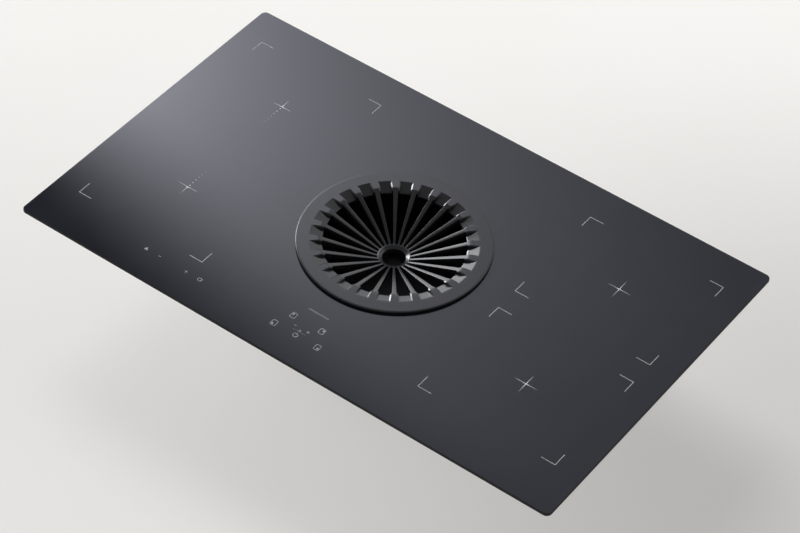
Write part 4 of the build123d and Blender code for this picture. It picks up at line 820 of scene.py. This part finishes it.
def soft_rubber(name, tone_a, tone_b, cell):
    """Foamed rubber: open cells make it dull and slightly uneven."""
    made = Finish(name)
    cells = made.cells(cell).between(0.05, 0.6)
    drift = made.noise(0.02, 3.0).between(0.3, 0.7)
    # darker at the middles of the cells, the pits of the bump: painted shade in the open cells
    tone = (cells * 0.6 + drift * 0.4).blend(tone_a, tone_b)
    return made.close(
        Base_Color=tone, Roughness=drift * 0.1 + 0.82, IOR=1.4,
        Normal=made.bump(cells, 0.00012, 0.6),
    )


def woven_mesh(name):
    """Layers of expanded aluminium: two families of slanted strands; the near black between them
    is painted shade in the gaps.

    The angle times the ring's mean radius is the length along it, and a strand stands where a
    sine of the length plus or minus the slanted height is high.
    """
    made = Finish(name)
    mean_radius, slant, waves = 0.088, 0.62, 2 * math.pi / 0.0034
    around = made.y.math("ARCTAN2", made.x) * mean_radius
    first = ((around + made.z * slant) * waves).math("SINE")
    second = ((around - made.z * slant) * waves).math("SINE")
    strand = first.math("MAXIMUM", second).between(0.15, 0.85)
    drift = made.noise(0.01, 2.0).between(0.3, 0.7)
    # near black where no strand lies: painted shade in the gaps between the layers
    tone = strand.blend(rgb(8, 8, 9), rgb(70, 71, 73))
    return made.close(
        Base_Color=tone, Metallic=strand * 0.8 + 0.2, Roughness=0.62 - strand * 0.3 + drift * 0.06,
        Normal=made.bump(strand, 0.0004, 0.7),
    )


def circuit_board(name):
    """Green solder mask over tracks: a sine across X gives them, and cells cut them into runs.

    The middles of finer cells are pale solder dots.
    """
    made = Finish(name)
    block = made.axes(made.cells(0.009, "Color", made.stretched(1.0, 0.55, 1.0)))[0]
    track = (made.x * 900).math("SINE") * 0.5 + 0.5
    trace = (track.between(0.6, 0.9) * block.between(0.45, 0.5)).between(0.2, 0.8)
    dot = 1 - made.cells(0.0042).between(0.12, 0.2)
    mask = trace.blend(rgb(18, 66, 40), rgb(34, 96, 58))
    tone = (dot * 0.8).blend(mask, rgb(196, 198, 196))
    return made.close(
        Base_Color=tone, Metallic=dot * 0.7, Roughness=0.34 + dot * 0.1, IOR=1.5,
        Normal=made.bump(trace, 0.00004, 0.5),
    )


def wound_copper(name):
    """Litz wire laid in a flat spiral: rings 3.4 mm apart about each coil, with twisted strands.

    Folding X and Y about the four coils' common middle leaves one coil. The distance from its
    centre sets the ring, and a sine of the distance and the angle together sets the strand.
    """
    made = Finish(name)
    waves, twist = 2 * math.pi / 0.0034, 90
    rear = sum(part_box("coil_winding_rear_right"), Vector()) / 2
    front = sum(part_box("coil_winding_front_right"), Vector()) / 2
    out_x = made.x.math("ABSOLUTE") - rear.x
    out_y = (made.y - (rear.y + front.y) / 2).math("ABSOLUTE") - (rear.y - front.y) / 2
    distance = (out_x * out_x + out_y * out_y).math("SQRT")
    angle = out_y.math("ARCTAN2", out_x)
    ring = (distance * waves).math("SINE") * 0.5 + 0.5
    strand = (distance * waves + angle * twist).math("SINE") * 0.5 + 0.5
    height = ring * 0.7 + strand * 0.3
    drift = made.noise(0.02, 2.0).between(0.3, 0.7)
    # the colour follows height: darker in the grooves between turns, which is painted shade
    tone = height.between(0.05, 0.9).blend(rgb(92, 44, 22), rgb(196, 116, 70))
    return made.close(
        Base_Color=tone, Metallic=0.9, Roughness=drift * 0.08 + 0.3,
        Normal=made.bump(height, 0.0006, 0.6),
    )


def fired_mineral(name, tone_a, tone_b, rough, metal=0.0):
    """Mica, ferrite or ceramic: pressed flakes a millimetre wide with a mineral glint."""
    made = Finish(name)
    flake = made.axes(made.cells(0.0014, "Color"))[1]
    drift = made.noise(0.02, 4.0, 0.6).between(0.3, 0.7)
    tone = (flake * 0.6 + drift * 0.4).blend(tone_a, tone_b)
    return made.close(
        Base_Color=tone, Metallic=metal, Roughness=rough - flake * 0.12, IOR=1.55,
        Normal=made.bump(flake, 0.00003, 0.3),
    )


# %% [markdown]
# The record gives every node a material slot. A dictionary from slot to finish is the shortest
# way to dress them all, and a list of the nodes that find none shows a slip at once.

# %% One finish for each slot
finishes = {
    "glass_ceramic": glass_material,
    "cast_black": grille.data.materials[0],
    "seal_foam": soft_rubber("seal_foam", rgb(30, 30, 31), rgb(52, 52, 54), 0.0008),
    "black_rubber": soft_rubber("black_rubber", rgb(22, 22, 23), rgb(34, 34, 35), 0.0014),
    "zinc_sheet": sheet_metal("zinc_sheet", rgb(192, 195, 198), rgb(170, 173, 178), 0.0028),
    "zinc_screw": brushed_metal("zinc_screw", rgb(206, 206, 204), rgb(158, 160, 162)),
    "black_enamel": painted_metal(
        "black_enamel", rgb(11, 11, 12), rgb(17, 17, 18), 0.6, bend=1.25
    ),
    "filter_steel": painted_metal(
        "filter_steel", rgb(12, 12, 13), rgb(19, 19, 20), 0.7, bend=1.15
    ),
    "filter_mesh": woven_mesh("filter_mesh"),
    "bowl_plastic": moulded_plastic("bowl_plastic", rgb(24, 24, 26), rgb(32, 32, 34), 0.42),
    "housing_plastic": moulded_plastic("housing_plastic", rgb(47, 48, 51), rgb(57, 58, 61)),
    "duct_plastic": moulded_plastic("duct_plastic", rgb(202, 203, 203), rgb(214, 215, 214)),
    "flap_plastic": moulded_plastic("flap_plastic", rgb(88, 90, 94), rgb(100, 102, 105)),
    "impeller_plastic": moulded_plastic("impeller_plastic", rgb(66, 69, 74), rgb(80, 83, 88)),
    "cooler_plastic": moulded_plastic("cooler_plastic", rgb(24, 24, 25), rgb(33, 33, 34), 0.4),
    "box_plastic": moulded_plastic("box_plastic", rgb(206, 207, 206), rgb(217, 217, 215)),
    "gland_plastic": moulded_plastic("gland_plastic", rgb(120, 123, 126), rgb(134, 136, 139)),
    "carrier_plastic": moulded_plastic("carrier_plastic", rgb(30, 30, 31), rgb(42, 42, 43), 0.5),
    "terminal_ivory": moulded_plastic("terminal_ivory", rgb(222, 214, 194), rgb(232, 225, 207)),
    "motor_alloy": sheet_metal(
        "motor_alloy", rgb(184, 185, 187), rgb(150, 151, 154), 0.0016, 0.42
    ),
    "bright_steel": brushed_metal("bright_steel", rgb(214, 214, 215), rgb(170, 171, 174)),
    "support_alloy": brushed_metal("support_alloy", rgb(205, 206, 208), rgb(168, 170, 173)),
    "clamp_steel": sheet_metal("clamp_steel", rgb(190, 188, 180), rgb(158, 157, 152), 0.003, 0.34),
    "board_green": circuit_board("board_green"),
    "copper_litz": wound_copper("copper_litz"),
    "mica": fired_mineral("mica", rgb(170, 158, 132), rgb(206, 195, 166), 0.5),
    "ferrite": fired_mineral("ferrite", rgb(38, 38, 40), rgb(62, 62, 65), 0.55, 0.2),
    "sensor_white": fired_mineral("sensor_white", rgb(222, 220, 214), rgb(238, 236, 231), 0.5),
}
slot_of = {part["node"]: part["material_slot"] for part in frame["record"]["subparts"]}
plain = [name for name in nodes if slot_of.get(name) not in finishes]
print("nodes without a finish of their own:", plain)
for name, node in nodes.items():
    if name not in plain:
        for place in range(max(len(node.material_slots), 1)):
            if node.material_slots:
                node.material_slots[place].material = finishes[slot_of[name]]
            else:
                node.data.materials.append(finishes[slot_of[name]])
print(len(finishes), "finishes are on", len(nodes) - len(plain), "nodes")

# %% [markdown]
# ## Floor, backdrop and light
#
# The cooktop stands on a pale floor, its lowest screw heads just touching it. The glass floats
# 18 cm above, so a plain floor would show a dark patch under the near edge that a worktop never
# has. The floor therefore mixes its real shading with a pale glow seen only by the camera and by
# mirrors, which leaves its shadow faint but present. The glow carries painted shade: it greys
# towards the front right.

# %% Floor
def level_sheet(left, right, front, back, height, count):
    """A flat grid between four sides: every point has the same height."""
    line_x, line_y = np.linspace(left, right, count), np.linspace(front, back, count)
    x, y = np.meshgrid(line_x, line_y, indexing="xy")
    return np.stack([x, y, np.full(x.shape, height)], -1)


def plain_object(name, grid):
    """A stage piece from one grid."""
    mesh = bpy.data.meshes.new(name)
    mesh.from_pydata(grid.reshape(-1, 3).tolist(), [], grid_quads(*grid.shape[:2]).tolist())
    made = bpy.data.objects.new(name, mesh)
    scene.collection.objects.link(made)
    return made


def floor_finish():
    """Warm off-white paint, most of it a glow for camera and mirror rays.

    As in the photograph it is brightest at the back left and greyer towards the front right.
    That grey is painted shade in the glow: a smooth step of the way towards the camera times one
    of the way to its right.
    Some metres out it is pale again, so that it meets the backdrop unseen from every side.
    """
    made = Finish("floor_paint")
    grain = made.noise(0.4, 3.0).between(0.3, 0.7)
    tone = grain.blend(rgb(240, 238, 234), rgb(243, 241, 238))
    paint = made.place.node("ShaderNodeBsdfDiffuse", Color=tone)
    near, right = made.x * 0.56 - made.y * 0.83, made.x * 0.83 + made.y * 0.56
    # grey is painted shade: the glow darkens towards the camera and to its right
    grey = near.between(-0.8, 0.1) * (right.between(-0.1, 0.6) * 0.5 + 0.4)
    grey = grey * (1 - near.between(1.4, 3.2)) * (1 - right.between(1.4, 3.2))
    shine = grey.blend(rgb(246, 245, 242), rgb(176, 173, 171))
    glow = made.place.node("ShaderNodeEmission", Color=shine, Strength=1.0)
    seen = made.tree.nodes.new("ShaderNodeLightPath")
    camera_ray = Socket(made.tree, seen.outputs["Is Camera Ray"])
    mirror_ray = Socket(made.tree, seen.outputs["Is Glossy Ray"])
    through_ray = Socket(made.tree, seen.outputs["Is Transmission Ray"])
    share = (camera_ray + mirror_ray + through_ray) * 0.7
    both = made.place.node("ShaderNodeMixShader", i0=share, i1=paint, i2=glow)
    end = made.tree.nodes.new("ShaderNodeOutputMaterial")
    made.tree.links.new(both.out, end.inputs["Surface"])
    return made.material


floor_half = 9.0
floor = plain_object(
    "floor", level_sheet(-floor_half, floor_half, -floor_half, floor_half, cad_low.z, 60)
)
floor.data.materials.append(floor_finish())
print("the floor lies", round(-1000 * cad_low.z, 1), "mm below the worktop's surface")

# %% [markdown]
# On a mirror each point shows one point of what hangs above it, found by folding the camera's
# line of sight upwards there. An even card would give the plate one flat tone, and a lamp a hot
# spot. So the card's glow is written in the plate's own places, as one would paint it there.

# %% The bright card over the far left
card_height = 1.8
card_left, card_right, card_front, card_back = -2.1, -0.3, 0.8, 2.3


def card_finish():
    """A glow that falls from left to right and from back to front, in the plate's own terms.

    A line from the eye to a point of the glass, folded up there, meets the card at the point
    plus the step from eye to point times share, the card's height over the eye's. Solved for
    the point, that is (card + eye * share) / (1 + share). The glow is then an even slope along
    the point's x and a soft near edge along its y.
    """
    made = Finish("card_glow")
    eye_place = camera.matrix_world.translation
    share = card_height / eye_place.z
    x = (made.x + eye_place.x * share) * (1 / (1 + share))
    y = (made.y + eye_place.y * share) * (1 / (1 + share))
    slope = (x * -2.53).math("EXPONENT") * 1.68
    edge = (y + x * 0.30).between(-0.355, -0.095)
    back = (y - x * 0.10).between(0.0, 0.45) * 0.5
    strength = slope * (edge * 0.97 + 0.03) * (1 - back)
    glow = made.place.node("ShaderNodeEmission", Color=(0.88, 0.89, 1.0, 1.0), Strength=strength)
    end = made.tree.nodes.new("ShaderNodeOutputMaterial")
    made.tree.links.new(glow.out, end.inputs["Surface"])
    return made.material


card = plain_object(
    "mirror_card", level_sheet(card_left, card_right, card_front, card_back, card_height, 12)
)
card.data.materials.append(card_finish())
print("the card hangs", card_height, "m over the worktop's surface")
for ray in ("visible_camera", "visible_diffuse", "visible_shadow", "visible_transmission"):
    setattr(card, ray, False)

# %% [markdown]
# One broad sun from the far left gives the form its shade. Mirrors don't see it, because its
# disc would burn out in the glass. What mirrors see is the room: a dim ceiling that keeps the
# glass dark, paler walls, and to the left a soft window with a lamp, a blind above and a sill
# below, which light up the ramps and bevels of the grille that face them. The camera itself
# sees only the floor's own pale colour, so there is no horizon.

# %% Sun and room
def soft_sun(name, towards, strength, wide):
    """A sun that shines from the direction towards, its disc wide degrees across."""
    light = bpy.data.lights.new(name, "SUN")
    light.energy, light.angle = strength, math.radians(wide)
    lamp = bpy.data.objects.new(name, light)
    scene.collection.objects.link(lamp)
    lamp.matrix_world = Vector(towards).to_track_quat("Z", "Y").to_matrix().to_4x4()
    lamp.visible_glossy = False
    return lamp


def room_light(name):
    """A dim ceiling of 0.25, paler walls, a broad glow at the back and four glows at the left.

    Each part is a smooth step of x, y, z or of a dot product: near 1 inside, 0 outside. The
    dot product of two directions is the cosine of the angle between them, so the window's
    glow rises as the angle to its middle shrinks from 20 degrees to 9.
    """
    room = bpy.data.worlds.new(name)
    room.use_nodes = True
    tree = room.node_tree
    start = Socket(tree, None)
    look = start.node("ShaderNodeTexCoord", output="Generated")
    split = tree.nodes.new("ShaderNodeSeparateXYZ")
    tree.links.new(look.out, split.inputs[0])
    x, y, z = [Socket(tree, out) for out in split.outputs]

    def facing(towards, outside, inside):
        """0 where the dot product with this direction is outside, 1 where it is inside."""
        across, along, up = towards
        return (x * across + y * along + z * up).between(outside, inside)

    low = 1 - z.between(0.05, 0.7)
    wall = facing((-0.66, 0.75, 0.0), 0.2, 0.95)
    window = facing((-0.84, 0.392, 0.375), 0.94, 0.9877)
    lamp = facing((-0.917, 0.23, 0.326), 0.965, 0.99)
    blind = facing((-0.74, 0.34, 0.58), 0.945, 0.995)
    sill = facing((-0.91, 0.42, 0.0), 0.86, 0.97) * (1 - z.between(0.2, 0.4))
    back = y.between(0.3, 0.6) * (1 - z.between(0.7, 1.0)) * z.between(0.2, 0.5)
    back = back * x.between(-0.5, -0.2)
    bright = window * 3.0 + lamp * 12.0 + sill * 2.2 + blind * 1.8
    strength = low * (wall * 0.65 + 0.4) + back * 0.8 + bright + 0.25
    camera_ray = start.node("ShaderNodeLightPath", output="Is Camera Ray")
    shown = start.node("ShaderNodeBackground", Color=rgb(246, 245, 242), Strength=1.0)
    felt = start.node("ShaderNodeBackground", Color=(0.95, 0.96, 0.98, 1.0), Strength=strength)
    both = start.node("ShaderNodeMixShader", i0=camera_ray, i1=felt, i2=shown)
    end = tree.nodes["World Output"]
    tree.links.new(both.out, end.inputs["Surface"])
    return room


sun = soft_sun("left_sun", towards=(-0.55, 0.45, 0.70), strength=1.5, wide=24.0)
scene.world = room_light("room")
scene.view_settings.view_transform = "Standard"
print(sun.name, "and", scene.world.name, "light the scene")

# %% Print the CAD box
print("cad box", [round(v, 4) for v in (*cad_low, *cad_high)])
